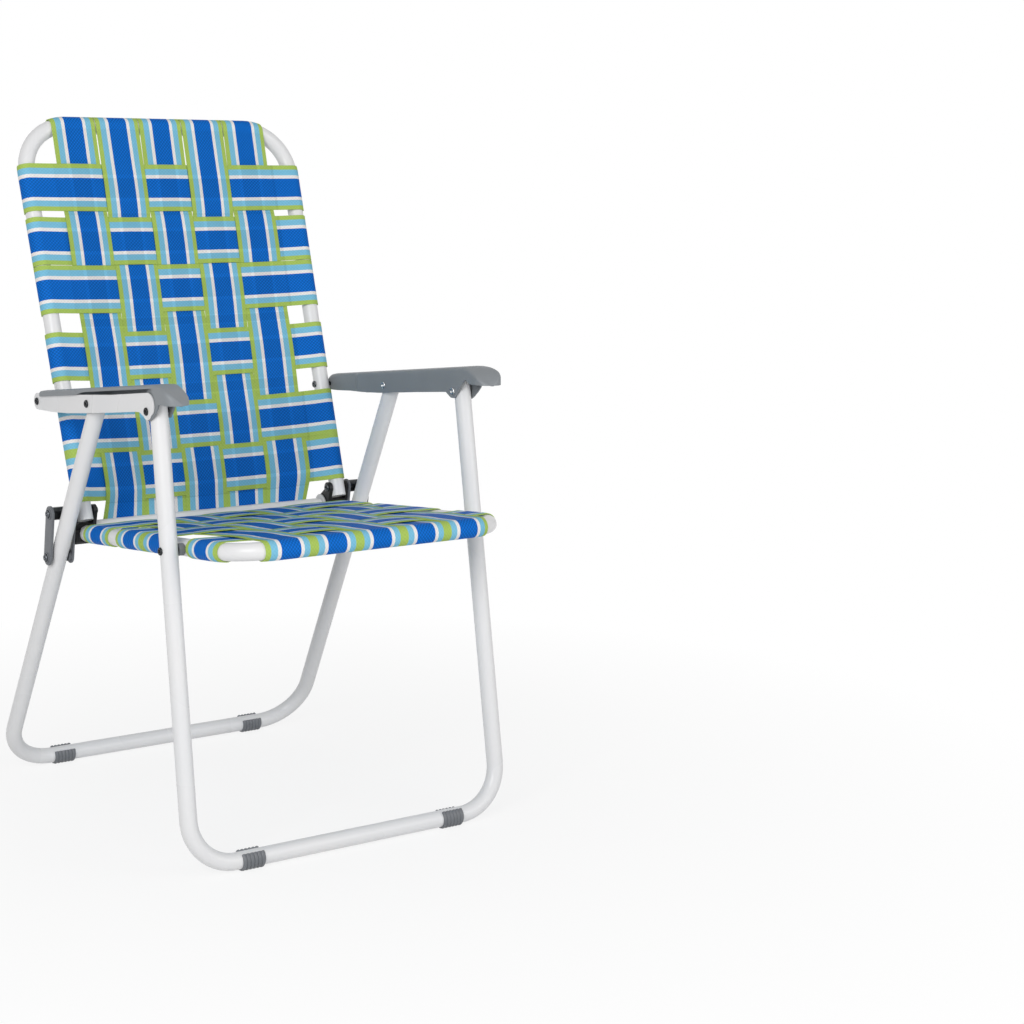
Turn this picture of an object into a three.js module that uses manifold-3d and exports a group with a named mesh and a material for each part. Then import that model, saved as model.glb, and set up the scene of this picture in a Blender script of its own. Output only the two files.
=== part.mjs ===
import * as THREE from 'three';
import { mergeVertices } from 'three/addons/utils/BufferGeometryUtils.js';
import Module from 'manifold-3d';

// Folding webbed lawn chair. Millimetres, +Z up, the sitter faces -Y.
// Heights are above the floor and depths run rearward from the front floor bar.

// Frame tube and its bends
const TUBE_DIAMETER = 22;
const TUBE_WALL = 1.2;
const FRONT_BEND_RADIUS = 60;
const REAR_BEND_RADIUS = 66;
const SEAT_BEND_RADIUS = 57;
const BACK_BEND_RADIUS = 67;

// Widths across the chair
const SEAT_HALF_WIDTH = 193;
const SPACER_LENGTH = 7.85;
const FRONT_LEG_SPLAY = 0.0129;
const REAR_LEG_SPLAY = 0.032;
const BACK_OFFSET_FROM_SEAT = 3;
const BACK_SPLAY = 0.015;

// Side view of the frames
const FRONT_LEG_LEAN = 8.56;
const REAR_LEG_LEAN = 28.94;
const SEAT_FALL = 5.375;
const BACK_RECLINE = 17.95;
const SEAT_PIVOT_HEIGHT = 398;
const ARM_PIVOT_HEIGHT = 565;
const LEG_ABOVE_ARM_PIVOT = 12;
const REAR_LEG_ABOVE_PIVOT = 9;
const SEAT_AHEAD_OF_PIVOT = 116.8;
const HINGE_BEHIND_PIVOT = 304.3;
const HINGE_ABOVE_SEAT = 30.65;
const SEAT_BEHIND_HINGE = 26;
const BACK_BELOW_HINGE = 13;
const BACK_LENGTH = 532;
const ARM_PIVOT_UP_BACK = 152;
const MIDDLE_PIVOT_LIFT = 2.6;
const LINK_LENGTH = 60.9;

// Running clearances and the gap between seated pieces
const CLEARANCE = 0.3;
const HINGE_SWING_CLEARANCE = 0.6;

// Crossbar behind the seat
const CROSSBAR_DIAMETER = 16;
const CROSSBAR_WALL = 1;
const CROSSBAR_BEHIND_HINGE = 18.1;
const CROSSBAR_ABOVE_SEAT = 7.5;
const BUSH_DISC_RADIUS = 8.6;
const BUSH_DISC_LENGTH = 3;
const BUSH_PLUG_LENGTH = 12;
const BUSH_SPIGOT_RADIUS = 3;
const BUSH_SPIGOT_LENGTH = 2.2;

// Hinge bracket on the rear end of each seat tube
const INNER_CHEEK = 5;
const OUTER_CHEEK = 3;
const BRACKET_WALL = 2;
const BRACKET_END_WALL = 3.6;
const BRACKET_SLEEVE_LENGTH = 32;
const HINGE_LUG_RADIUS = 8;
const HINGE_PIN_RADIUS = 3;
const HINGE_HEAD_RADIUS = 5.5;
const HINGE_HEAD_HEIGHT = 2.2;

// Links between the hinge and the rear legs
const INNER_LINK_THICKNESS = 2.5;
const OUTER_LINK_THICKNESS = 4;
const LINK_END_RADIUS = 10.5;
const LINK_BOSS_RADIUS = 7.5;
const LINK_BOSS_RISE = 1.4;
const LINK_SLEEVE_RADIUS = 8.7;
const LINK_PIN_RADIUS = 3;
const LINK_HEAD_RADIUS = 5;
const LINK_HEAD_HEIGHT = 2;
const OUTER_LINK_CLEARANCE = 2.2;

// Rivets
const RIVET_RADIUS = 3;
const RIVET_HEAD_RADIUS = 5;
const RIVET_HEAD_HEIGHT = 2;
const RIVET_COLLAR_RADIUS = 5.5;
const SPACER_RADIUS = 9;

// Armrest moulding
const ARM_WALL = 3;
const ARM_WALL_CLEARANCE = 1.3;
const ARM_PAD_THICKNESS = 3.5;
const ARM_TOP_ABOVE_FRONT_PIVOT = 31.4;
const ARM_TOP_ABOVE_REAR_PIVOT = 13.3;
const ARM_REAR_OVERHANG = 11;
const ARM_JOG_AHEAD_OF_REAR_PIVOT = 75;
const ARM_JOG_WEB = 6;
const ARM_REAR_CLEARANCE = 2;
const ARM_REAR_BOSS_RADIUS = 7;
const ARM_PAD_INNER_LIP = 2;
const ARM_PAD_OUTER_LIP = 2.5;
const BILL_CREST_AHEAD = 23;
const BILL_LENGTH = 50;
const BILL_DROP = 21.5;
const BILL_INNER_FLARE = 1;
const BILL_OUTER_FLARE = 2;
const BILL_CORNER_RADIUS = 18;
const LEG_ARCH_RISE = 15;
const LEG_ARCH_REACH = 56;
const ARM_LOBE_RADIUS = 10.5;
const ARM_WALL_BELOW_MIDDLE = 14.4;
const ARM_WALL_BELOW_REAR = 6.4;

// Outer steel plate of the armrest
const PLATE_THICKNESS = 2.2;
const PLATE_CLEARANCE = 3.2;
const PLATE_END_RADIUS = 11;
const PLATE_TOP_ABOVE_FRONT = 21.6;
const PLATE_TOP_ABOVE_REAR = 11;
const PLATE_BELOW_MIDDLE = 18.3;
const PLATE_NOSE_AHEAD = 21.8;

// Foot clips
const FOOT_LENGTH = 31;
const FOOT_WALL = 2.3;
const FOOT_SOLE = 1.3;
const FOOT_GROOVES = 4;
const FOOT_GROOVE_DEPTH = 0.8;
const FOOT_OPENING = 100;
const FOOT_FROM_BEND = 4.7;

// Webbing. Back straps are placed by their top edges, measured up from the hinge.
const WEBBING_WIDTH = 66;
const SEAT_WEBBING_WIDTH = 74;
const WEBBING_THICKNESS = 1.2;
const WEBBING_GAP = 1.6;
const WRAP_CLEARANCE = 0.4;
const WEAVE_LIFT = 0.75;
const WRAP_ANGLE = 200;
const BACK_STRAP_TOPS = [475, 400.5, 332.9, 241.4, 142.4, 74.8];
const SEAT_STRAP_REARS = [289.5, 190, 114.4, -9.8];
const LENGTHWISE_STRAPS = 5;
const LENGTHWISE_INSIDE_SEAT = 31;

// Roundness of curved surfaces
const TUBE_SIDES = 14;
const PIN_SIDES = 8;
const BEND_STEPS = 6;
const WRAP_STEPS = 8;

const TUBE_RADIUS = TUBE_DIAMETER / 2;
const CROSSBAR_RADIUS = CROSSBAR_DIAMETER / 2;
const RIVET_HOLE = RIVET_RADIUS + CLEARANCE;
const STRAP_MIDDLE = TUBE_RADIUS + WRAP_CLEARANCE + WEBBING_THICKNESS / 2;
const LENGTHWISE_SPAN = 2 * (SEAT_HALF_WIDTH - LENGTHWISE_INSIDE_SEAT);
const LENGTHWISE_WIDTH = (LENGTHWISE_SPAN - (LENGTHWISE_STRAPS - 1) * WEBBING_GAP) / LENGTHWISE_STRAPS;
const LENGTHWISE_PITCH = LENGTHWISE_WIDTH + WEBBING_GAP;
const FLOOR_BAR_HEIGHT = FOOT_SOLE + CLEARANCE + TUBE_RADIUS;
const FOOT_RADIUS = TUBE_RADIUS + CLEARANCE + FOOT_WALL;

// Side-view points are Vector2 with x as depth and y as height.
const direction = (degrees) => new THREE.Vector2(
  Math.cos(THREE.MathUtils.degToRad(degrees)),
  Math.sin(THREE.MathUtils.degToRad(degrees)),
);
const sidePoint = (depth, height) => new THREE.Vector2(depth, height);
const FRONT_LEG_UP = direction(90 - FRONT_LEG_LEAN);
const REAR_LEG_UP = direction(90 + REAR_LEG_LEAN);
const SEAT_REARWARD = direction(-SEAT_FALL);
const SEAT_NORMAL = direction(90 - SEAT_FALL);
const BACK_UP = direction(90 - BACK_RECLINE);
const BACK_NORMAL = direction(180 - BACK_RECLINE);

const FRONT_BAR = sidePoint(0, FLOOR_BAR_HEIGHT);
const alongLine = (start, heading, distance) => start.clone().addScaledVector(heading, distance);
const atHeight = (start, heading, height) => alongLine(start, heading, (height - start.y) / heading.y);
const SEAT_PIVOT = atHeight(FRONT_BAR, FRONT_LEG_UP, SEAT_PIVOT_HEIGHT);
const ARM_FRONT_PIVOT = atHeight(FRONT_BAR, FRONT_LEG_UP, ARM_PIVOT_HEIGHT);
const onSeat = (rearward, up) => alongLine(alongLine(SEAT_PIVOT, SEAT_REARWARD, rearward), SEAT_NORMAL, up);
const HINGE = onSeat(HINGE_BEHIND_PIVOT, HINGE_ABOVE_SEAT);
const onBack = (up, forward) => alongLine(alongLine(HINGE, BACK_UP, up), BACK_NORMAL, forward);
const ARM_REAR_PIVOT = onBack(ARM_PIVOT_UP_BACK, 0);
const CROSSBAR = onSeat(HINGE_BEHIND_PIVOT + CROSSBAR_BEHIND_HINGE, CROSSBAR_ABOVE_SEAT);

// The rear leg rests on the sleeve of the upper link pin when the chair stands open.
const REAR_LEG_FROM_HINGE = TUBE_RADIUS + LINK_SLEEVE_RADIUS + CLEARANCE;
const REAR_LEG_FOOT_SIDE = sidePoint(REAR_LEG_UP.y, -REAR_LEG_UP.x);
const REAR_LEG_NEAR_HINGE = alongLine(HINGE, REAR_LEG_FOOT_SIDE, -REAR_LEG_FROM_HINGE);
const REAR_BAR = atHeight(REAR_LEG_NEAR_HINGE, REAR_LEG_UP, FLOOR_BAR_HEIGHT);
const LINK_LOWER_PIVOT = alongLine(
  REAR_LEG_NEAR_HINGE,
  REAR_LEG_UP,
  -Math.sqrt(LINK_LENGTH ** 2 - REAR_LEG_FROM_HINGE ** 2),
);
const ARM_LINE = ARM_REAR_PIVOT.clone().sub(ARM_FRONT_PIVOT);
const aboveArmLine = (point) => point.y - ARM_FRONT_PIVOT.y
  - (point.x - ARM_FRONT_PIVOT.x) * ARM_LINE.y / ARM_LINE.x;
const REAR_LEG_CLIMB = REAR_LEG_UP.y - REAR_LEG_UP.x * ARM_LINE.y / ARM_LINE.x;
const ARM_MIDDLE_PIVOT = alongLine(
  REAR_BAR,
  REAR_LEG_UP,
  (MIDDLE_PIVOT_LIFT - aboveArmLine(REAR_BAR)) / REAR_LEG_CLIMB,
);

// Widths derived from the seat outwards
const FRONT_LEG_AT_SEAT = SEAT_HALF_WIDTH + TUBE_DIAMETER + SPACER_LENGTH + 2 * CLEARANCE;
const frontLegHalfWidth = (height) => FRONT_LEG_AT_SEAT + FRONT_LEG_SPLAY * (SEAT_PIVOT.y - height);
const ARM_HALF_WIDTH = frontLegHalfWidth(ARM_FRONT_PIVOT.y);
const rearLegHalfWidth = (height) => ARM_HALF_WIDTH + REAR_LEG_SPLAY * (ARM_MIDDLE_PIVOT.y - height);
const backHalfWidth = (up) => SEAT_HALF_WIDTH + BACK_OFFSET_FROM_SEAT + BACK_SPLAY * up;

const SLOT_INNER = backHalfWidth(0) - TUBE_RADIUS - CLEARANCE;
const SLOT_OUTER = backHalfWidth(0) + TUBE_RADIUS + CLEARANCE;
const BRACKET_INNER = SLOT_INNER - INNER_CHEEK;
const BRACKET_OUTER = SLOT_OUTER + OUTER_CHEEK;
const INNER_LINK_START = BRACKET_OUTER + HINGE_SWING_CLEARANCE;
const INNER_LINK_END = INNER_LINK_START + INNER_LINK_THICKNESS;
const REAR_LEG_AT_LINK = rearLegHalfWidth(LINK_LOWER_PIVOT.y);
const OUTER_LINK_START = REAR_LEG_AT_LINK + TUBE_RADIUS + OUTER_LINK_CLEARANCE;
const OUTER_LINK_END = OUTER_LINK_START + OUTER_LINK_THICKNESS;

const ARM_WALL_END = ARM_HALF_WIDTH - TUBE_RADIUS - ARM_WALL_CLEARANCE;
const ARM_WALL_START = ARM_WALL_END - ARM_WALL;
const BACK_TUBE_OUTSIDE = backHalfWidth(ARM_PIVOT_UP_BACK) + TUBE_RADIUS;
const ARM_REAR_WALL_START = BACK_TUBE_OUTSIDE + WRAP_CLEARANCE + WEBBING_THICKNESS + ARM_REAR_CLEARANCE;
const ARM_REAR_WALL_END = ARM_REAR_WALL_START + ARM_WALL;
const PLATE_START = ARM_HALF_WIDTH + TUBE_RADIUS + PLATE_CLEARANCE;
const PLATE_END = PLATE_START + PLATE_THICKNESS;

// Materials
const whitePaint = new THREE.MeshStandardMaterial({ color: 0xf2f2f0, roughness: 0.3, metalness: 0.1 });
const greyPlastic = new THREE.MeshStandardMaterial({ color: 0x84898e, roughness: 0.55, metalness: 0 });
const darkPlastic = new THREE.MeshStandardMaterial({ color: 0x3a3b3e, roughness: 0.5, metalness: 0 });
const palePlastic = new THREE.MeshStandardMaterial({ color: 0xc4c6c8, roughness: 0.5, metalness: 0 });
const zinc = new THREE.MeshStandardMaterial({ color: 0x6e7073, roughness: 0.4, metalness: 0.9 });
const blueWebbing = new THREE.MeshStandardMaterial({ color: 0x1058c0, roughness: 0.8, metalness: 0 });

const chair = new THREE.Group();

function addPiece(name, geometry, material) {
  const mesh = new THREE.Mesh(geometry, material.clone());
  mesh.name = name;
  chair.add(mesh);
}

// Solids
const wasm = await Module();
wasm.setup();

function positionsOnly(geometry) {
  geometry.deleteAttribute('normal');
  geometry.deleteAttribute('uv');
  return mergeVertices(geometry, 1e-4);
}

function solidOf(geometry) {
  const merged = positionsOnly(geometry);
  const vertProperties = new Float32Array(merged.attributes.position.array);
  const triVerts = new Uint32Array(merged.index.array);
  return new wasm.Manifold(new wasm.Mesh({ numProp: 3, vertProperties, triVerts }));
}

function geometryOf(solid) {
  const mesh = solid.getMesh();
  const geometry = new THREE.BufferGeometry();
  geometry.setAttribute('position', new THREE.BufferAttribute(mesh.vertProperties, 3));
  geometry.setIndex(new THREE.BufferAttribute(mesh.triVerts, 1));
  return geometry;
}

function circlePoints(radius, sides, centre = sidePoint(0, 0)) {
  const points = [];
  for (let i = 0; i < sides; i += 1) {
    const angle = (i / sides) * 2 * Math.PI;
    points.push(sidePoint(centre.x + radius * Math.cos(angle), centre.y + radius * Math.sin(angle)));
  }
  return points;
}

// Points of an arc about a side-view centre, from one angle to another in degrees
function arcPoints(centre, radius, from, to, steps) {
  const points = [];
  for (let i = 0; i <= steps; i += 1) {
    points.push(alongLine(centre, direction(from + ((to - from) * i) / steps), radius));
  }
  return points;
}

const sideways = new THREE.Matrix4().makeBasis(
  new THREE.Vector3(0, 1, 0),
  new THREE.Vector3(0, 0, 1),
  new THREE.Vector3(1, 0, 0),
);

// A side-view outline extruded across the chair between two widths
function crosswise(outline, from, to) {
  const start = Math.min(from, to);
  const geometry = new THREE.ExtrudeGeometry(new THREE.Shape(outline), {
    depth: Math.abs(to - from),
    bevelEnabled: false,
  });
  geometry.translate(0, 0, start);
  return geometry.applyMatrix4(sideways);
}

// A part turned about a crosswise axis, from a profile of [width, radius] pairs
function turned(profile, side, centre) {
  const points = profile.map(([width, radius]) => sidePoint(radius, width * side));
  const geometry = new THREE.LatheGeometry(points, PIN_SIDES);
  geometry.applyMatrix4(new THREE.Matrix4().makeBasis(
    new THREE.Vector3(0, 1, 0),
    new THREE.Vector3(1, 0, 0),
    new THREE.Vector3(0, 0, -1),
  ));
  geometry.translate(0, centre.x, centre.y);
  return facingOut(positionsOnly(geometry));
}

function facingOut(geometry) {
  const position = geometry.attributes.position;
  const index = geometry.index.array;
  const corner = [new THREE.Vector3(), new THREE.Vector3(), new THREE.Vector3()];
  let volume = 0;
  for (let i = 0; i < index.length; i += 3) {
    corner.forEach((vertex, k) => vertex.fromBufferAttribute(position, index[i + k]));
    volume += corner[0].dot(corner[1].cross(corner[2]));
  }
  if (volume < 0) {
    for (let i = 0; i < index.length; i += 3) {
      [index[i + 1], index[i + 2]] = [index[i + 2], index[i + 1]];
    }
  }
  return geometry;
}

// Centre line of a bent tube: straight runs joined by round bends
class BentPath extends THREE.Curve {
  constructor(corners, bendRadius) {
    super();
    this.stations = [];
    this.addStation(corners[0], corners[1].clone().sub(corners[0]).normalize());
    for (let i = 1; i < corners.length - 1; i += 1) {
      this.addBend(corners[i - 1], corners[i], corners[i + 1], bendRadius);
    }
    const end = corners[corners.length - 1];
    this.addStation(end, end.clone().sub(corners[corners.length - 2]).normalize());
  }

  addStation(point, tangent) {
    this.stations.push({ point, tangent });
  }

  addBend(before, corner, after, radius) {
    const incoming = corner.clone().sub(before).normalize();
    const outgoing = after.clone().sub(corner).normalize();
    const turn = incoming.angleTo(outgoing);
    const inward = outgoing.clone().addScaledVector(incoming, -Math.cos(turn)).normalize();
    const start = corner.clone().addScaledVector(incoming, -radius * Math.tan(turn / 2));
    const centre = start.clone().addScaledVector(inward, radius);
    for (let i = 0; i <= BEND_STEPS; i += 1) {
      const angle = (turn * i) / BEND_STEPS;
      const point = centre.clone()
        .addScaledVector(inward, -radius * Math.cos(angle))
        .addScaledVector(incoming, radius * Math.sin(angle));
      const tangent = incoming.clone().multiplyScalar(Math.cos(angle))
        .addScaledVector(inward, Math.sin(angle));
      this.addStation(point, tangent);
    }
  }

  stationAt(share) {
    return this.stations[Math.round(share * (this.stations.length - 1))];
  }

  getPointAt(share) {
    return this.stationAt(share).point.clone();
  }

  getTangentAt(share) {
    return this.stationAt(share).tangent.clone();
  }
}

function tubeAlong(path, radius, wall) {
  const section = new THREE.Shape(circlePoints(radius, TUBE_SIDES));
  section.holes.push(new THREE.Path(circlePoints(radius - wall, TUBE_SIDES)));
  return new THREE.ExtrudeGeometry(section, { steps: path.stations.length - 1, extrudePath: path });
}

// A U-shaped tube from four corners, with rivet holes drilled across it
function bentFrame(corners, bendRadius, drilled) {
  let frame = solidOf(tubeAlong(new BentPath(corners, bendRadius), TUBE_RADIUS, TUBE_WALL));
  const reach = Math.max(...corners.map((corner) => Math.abs(corner.x))) + TUBE_DIAMETER;
  drilled.forEach((centre) => {
    frame = frame.subtract(solidOf(crosswise(circlePoints(RIVET_HOLE, PIN_SIDES, centre), -reach, reach)));
  });
  return geometryOf(frame);
}

const atWidth = (point, width) => new THREE.Vector3(width, point.x, point.y);

function uCorners(open, closed, openHalfWidth, closedHalfWidth) {
  return [
    atWidth(open, -openHalfWidth),
    atWidth(closed, -closedHalfWidth),
    atWidth(closed, closedHalfWidth),
    atWidth(open, openHalfWidth),
  ];
}

// Front and rear leg frames
const frontLegTop = alongLine(ARM_FRONT_PIVOT, FRONT_LEG_UP, LEG_ABOVE_ARM_PIVOT);
const frontBarHalfWidth = frontLegHalfWidth(FRONT_BAR.y);
const frontLegCorners = uCorners(frontLegTop, FRONT_BAR, frontLegHalfWidth(frontLegTop.y), frontBarHalfWidth);
addPiece(
  'front_leg_frame',
  bentFrame(frontLegCorners, FRONT_BEND_RADIUS, [ARM_FRONT_PIVOT, SEAT_PIVOT]),
  whitePaint,
);

const rearLegTop = alongLine(ARM_MIDDLE_PIVOT, REAR_LEG_UP, REAR_LEG_ABOVE_PIVOT);
const rearBarHalfWidth = rearLegHalfWidth(REAR_BAR.y);
const rearLegCorners = uCorners(rearLegTop, REAR_BAR, rearLegHalfWidth(rearLegTop.y), rearBarHalfWidth);
addPiece(
  'rear_leg_frame',
  bentFrame(rearLegCorners, REAR_BEND_RADIUS, [ARM_MIDDLE_PIVOT, LINK_LOWER_PIVOT]),
  whitePaint,
);

// Seat frame, open at the rear, and back frame, open at the bottom
const SEAT_REAR_END = HINGE_BEHIND_PIVOT + SEAT_BEHIND_HINGE;
const seatCorners = uCorners(
  onSeat(SEAT_REAR_END, 0),
  onSeat(-SEAT_AHEAD_OF_PIVOT, 0),
  SEAT_HALF_WIDTH,
  SEAT_HALF_WIDTH,
);
addPiece('seat_frame', bentFrame(seatCorners, SEAT_BEND_RADIUS, [SEAT_PIVOT]), whitePaint);

const backCorners = uCorners(
  onBack(-BACK_BELOW_HINGE, 0),
  onBack(BACK_LENGTH, 0),
  backHalfWidth(-BACK_BELOW_HINGE),
  backHalfWidth(BACK_LENGTH),
);
addPiece('back_frame', bentFrame(backCorners, BACK_BEND_RADIUS, [HINGE, ARM_REAR_PIVOT]), whitePaint);

// Crossbar behind the seat, with a bush in each end that plugs into the hinge bracket
const CROSSBAR_HALF_LENGTH = BRACKET_INNER - CLEARANCE - BUSH_DISC_LENGTH - CLEARANCE;
const crossbarPath = new BentPath(
  [atWidth(CROSSBAR, -CROSSBAR_HALF_LENGTH), atWidth(CROSSBAR, CROSSBAR_HALF_LENGTH)],
  0,
);
addPiece('crossbar', positionsOnly(tubeAlong(crossbarPath, CROSSBAR_RADIUS, CROSSBAR_WALL)), whitePaint);

const bushProfile = [
  [CROSSBAR_HALF_LENGTH - BUSH_PLUG_LENGTH, 0],
  [CROSSBAR_HALF_LENGTH - BUSH_PLUG_LENGTH, CROSSBAR_RADIUS - CROSSBAR_WALL - CLEARANCE],
  [CROSSBAR_HALF_LENGTH + CLEARANCE, CROSSBAR_RADIUS - CROSSBAR_WALL - CLEARANCE],
  [CROSSBAR_HALF_LENGTH + CLEARANCE, BUSH_DISC_RADIUS],
  [BRACKET_INNER - CLEARANCE, BUSH_DISC_RADIUS],
  [BRACKET_INNER - CLEARANCE, BUSH_SPIGOT_RADIUS],
  [BRACKET_INNER + BUSH_SPIGOT_LENGTH, BUSH_SPIGOT_RADIUS],
  [BRACKET_INNER + BUSH_SPIGOT_LENGTH, 0],
];

// Hinge bracket: a block over the seat tube's end, slotted for the back tube
const hingeOnSeat = (rearward, up) => onSeat(HINGE_BEHIND_PIVOT + rearward, up);
const BRACKET_REAR = SEAT_BEHIND_HINGE + CLEARANCE + BRACKET_END_WALL;
const BRACKET_FRONT = BRACKET_REAR - BRACKET_SLEEVE_LENGTH;
const BORE_RADIUS = TUBE_RADIUS + CLEARANCE;
const SLEEVE_RADIUS = BORE_RADIUS + BRACKET_WALL;
const SLOT_RADIUS = Math.hypot(BACK_BELOW_HINGE, TUBE_RADIUS) + HINGE_SWING_CLEARANCE;
const bracketOutline = [
  hingeOnSeat(BRACKET_FRONT, -SLEEVE_RADIUS),
  hingeOnSeat(BRACKET_REAR, -SLEEVE_RADIUS),
  hingeOnSeat(BRACKET_REAR, CROSSBAR_ABOVE_SEAT + BUSH_DISC_RADIUS / 2),
  hingeOnSeat(BRACKET_REAR - BRACKET_WALL, CROSSBAR_ABOVE_SEAT + BUSH_DISC_RADIUS),
  ...arcPoints(HINGE, HINGE_LUG_RADIUS, -20, 200, 10),
  hingeOnSeat(BRACKET_FRONT + BRACKET_WALL, CROSSBAR_ABOVE_SEAT),
  hingeOnSeat(BRACKET_FRONT, BORE_RADIUS / 2),
];
const slotOutline = [
  ...arcPoints(HINGE, SLOT_RADIUS, 180, 360, 12),
  hingeOnSeat(SLOT_RADIUS * 2, HINGE_ABOVE_SEAT + SLOT_RADIUS),
  hingeOnSeat(-SLOT_RADIUS * 2, HINGE_ABOVE_SEAT + SLOT_RADIUS),
];

function hingeBracket(side) {
  const boreWidth = side * SEAT_HALF_WIDTH;
  const borePath = new BentPath(
    [
      atWidth(hingeOnSeat(BRACKET_FRONT - BRACKET_WALL, 0), boreWidth),
      atWidth(hingeOnSeat(SEAT_BEHIND_HINGE + CLEARANCE, 0), boreWidth),
    ],
    0,
  );
  const bore = new THREE.ExtrudeGeometry(new THREE.Shape(circlePoints(BORE_RADIUS, TUBE_SIDES)), {
    steps: 1,
    extrudePath: borePath,
  });
  const pinHole = circlePoints(HINGE_PIN_RADIUS + CLEARANCE, PIN_SIDES, HINGE);
  const spigotHole = circlePoints(BUSH_SPIGOT_RADIUS + CLEARANCE, PIN_SIDES, CROSSBAR);
  const spigotEnd = BRACKET_INNER + BUSH_SPIGOT_LENGTH + CLEARANCE;
  return geometryOf(
    solidOf(crosswise(bracketOutline, side * BRACKET_INNER, side * BRACKET_OUTER))
      .subtract(solidOf(crosswise(slotOutline, side * SLOT_INNER, side * SLOT_OUTER)))
      .subtract(solidOf(bore))
      .subtract(solidOf(crosswise(pinHole, side * (BRACKET_INNER - 1), side * (BRACKET_OUTER + 1))))
      .subtract(solidOf(crosswise(spigotHole, side * (BRACKET_INNER - 1), side * spigotEnd))),
  );
}

// Profile of a domed rivet head, from its crown to the top of its shank
function head(crown, seat, headRadius, shankRadius) {
  const shoulder = crown + (seat - crown) * 0.45;
  return [
    [crown, 0],
    [crown, headRadius * 0.55],
    [shoulder, headRadius],
    [seat, headRadius],
    [seat, shankRadius],
  ];
}

// A head on a shank with a plain end
function headed(crown, seat, end, headRadius, shankRadius) {
  return [...head(crown, seat, headRadius, shankRadius), [end, shankRadius], [end, 0]];
}

const hingePinProfile = headed(
  BRACKET_INNER - CLEARANCE - HINGE_HEAD_HEIGHT,
  BRACKET_INNER - CLEARANCE,
  BRACKET_OUTER,
  HINGE_HEAD_RADIUS,
  HINGE_PIN_RADIUS,
);

// Links: two plates with round ends on each rear leg, joined by two pins
function linkOutline(radius) {
  const heading = THREE.MathUtils.radToDeg(LINK_LOWER_PIVOT.clone().sub(HINGE).angle());
  return [
    ...arcPoints(LINK_LOWER_PIVOT, radius, heading - 90, heading + 90, 8),
    ...arcPoints(HINGE, radius, heading + 90, heading + 270, 8),
  ];
}

function linkPlate(side, from, to, bosses) {
  let plate = solidOf(crosswise(linkOutline(LINK_END_RADIUS), side * from, side * to));
  bosses.forEach(([centre, start, end]) => {
    const round = circlePoints(LINK_BOSS_RADIUS, TUBE_SIDES, centre);
    plate = plate.add(solidOf(crosswise(round, side * start, side * end)));
  });
  [HINGE, LINK_LOWER_PIVOT].forEach((centre) => {
    const hole = circlePoints(LINK_PIN_RADIUS + CLEARANCE, PIN_SIDES, centre);
    plate = plate.subtract(
      solidOf(crosswise(hole, side * (from - LINK_END_RADIUS), side * (to + LINK_END_RADIUS))),
    );
  });
  return geometryOf(plate);
}

const LEG_SIDE_GAP = CLEARANCE + REAR_LEG_SPLAY * LINK_BOSS_RADIUS;
const innerLinkBosses = [
  [LINK_LOWER_PIVOT, INNER_LINK_END - CLEARANCE, REAR_LEG_AT_LINK - TUBE_RADIUS - LEG_SIDE_GAP],
];
const outerLinkBosses = [
  [LINK_LOWER_PIVOT, REAR_LEG_AT_LINK + TUBE_RADIUS + LEG_SIDE_GAP, OUTER_LINK_END + LINK_BOSS_RISE],
  [HINGE, OUTER_LINK_END - CLEARANCE, OUTER_LINK_END + LINK_BOSS_RISE],
];
const LINK_PIN_SEAT = OUTER_LINK_END + LINK_BOSS_RISE + CLEARANCE;
const lowerLinkPinProfile = headed(
  LINK_PIN_SEAT + LINK_HEAD_HEIGHT,
  LINK_PIN_SEAT,
  INNER_LINK_START,
  LINK_HEAD_RADIUS,
  LINK_PIN_RADIUS,
);
const upperLinkPinProfile = [
  ...head(LINK_PIN_SEAT + LINK_HEAD_HEIGHT, LINK_PIN_SEAT, LINK_HEAD_RADIUS, LINK_PIN_RADIUS),
  [OUTER_LINK_START - CLEARANCE, LINK_PIN_RADIUS],
  [OUTER_LINK_START - CLEARANCE, LINK_SLEEVE_RADIUS],
  [INNER_LINK_END + CLEARANCE, LINK_SLEEVE_RADIUS],
  [INNER_LINK_END + CLEARANCE, LINK_PIN_RADIUS],
  [INNER_LINK_START, LINK_PIN_RADIUS],
  [INNER_LINK_START, 0],
];

// Seat pivot: a spacer between the seat tube and the front leg, and a rivet through all three
const SPACER_START = SEAT_HALF_WIDTH + TUBE_RADIUS + CLEARANCE;
const spacerProfile = [
  [SPACER_START, RIVET_HOLE],
  [SPACER_START, SPACER_RADIUS],
  [SPACER_START + SPACER_LENGTH - FRONT_LEG_SPLAY * SPACER_RADIUS, SPACER_RADIUS],
  [SPACER_START + SPACER_LENGTH - FRONT_LEG_SPLAY * SPACER_RADIUS, RIVET_HOLE],
  [SPACER_START, RIVET_HOLE],
];
const SEAT_RIVET_OUTSIDE = FRONT_LEG_AT_SEAT + TUBE_RADIUS + CLEARANCE;
const SEAT_RIVET_INSIDE = SEAT_HALF_WIDTH - TUBE_RADIUS - CLEARANCE;
const seatRivetProfile = [
  ...head(SEAT_RIVET_OUTSIDE + RIVET_HEAD_HEIGHT, SEAT_RIVET_OUTSIDE, RIVET_HEAD_RADIUS, RIVET_RADIUS),
  ...head(
    SEAT_RIVET_INSIDE - RIVET_HEAD_HEIGHT,
    SEAT_RIVET_INSIDE,
    RIVET_HEAD_RADIUS,
    RIVET_RADIUS,
  ).reverse(),
];

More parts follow.
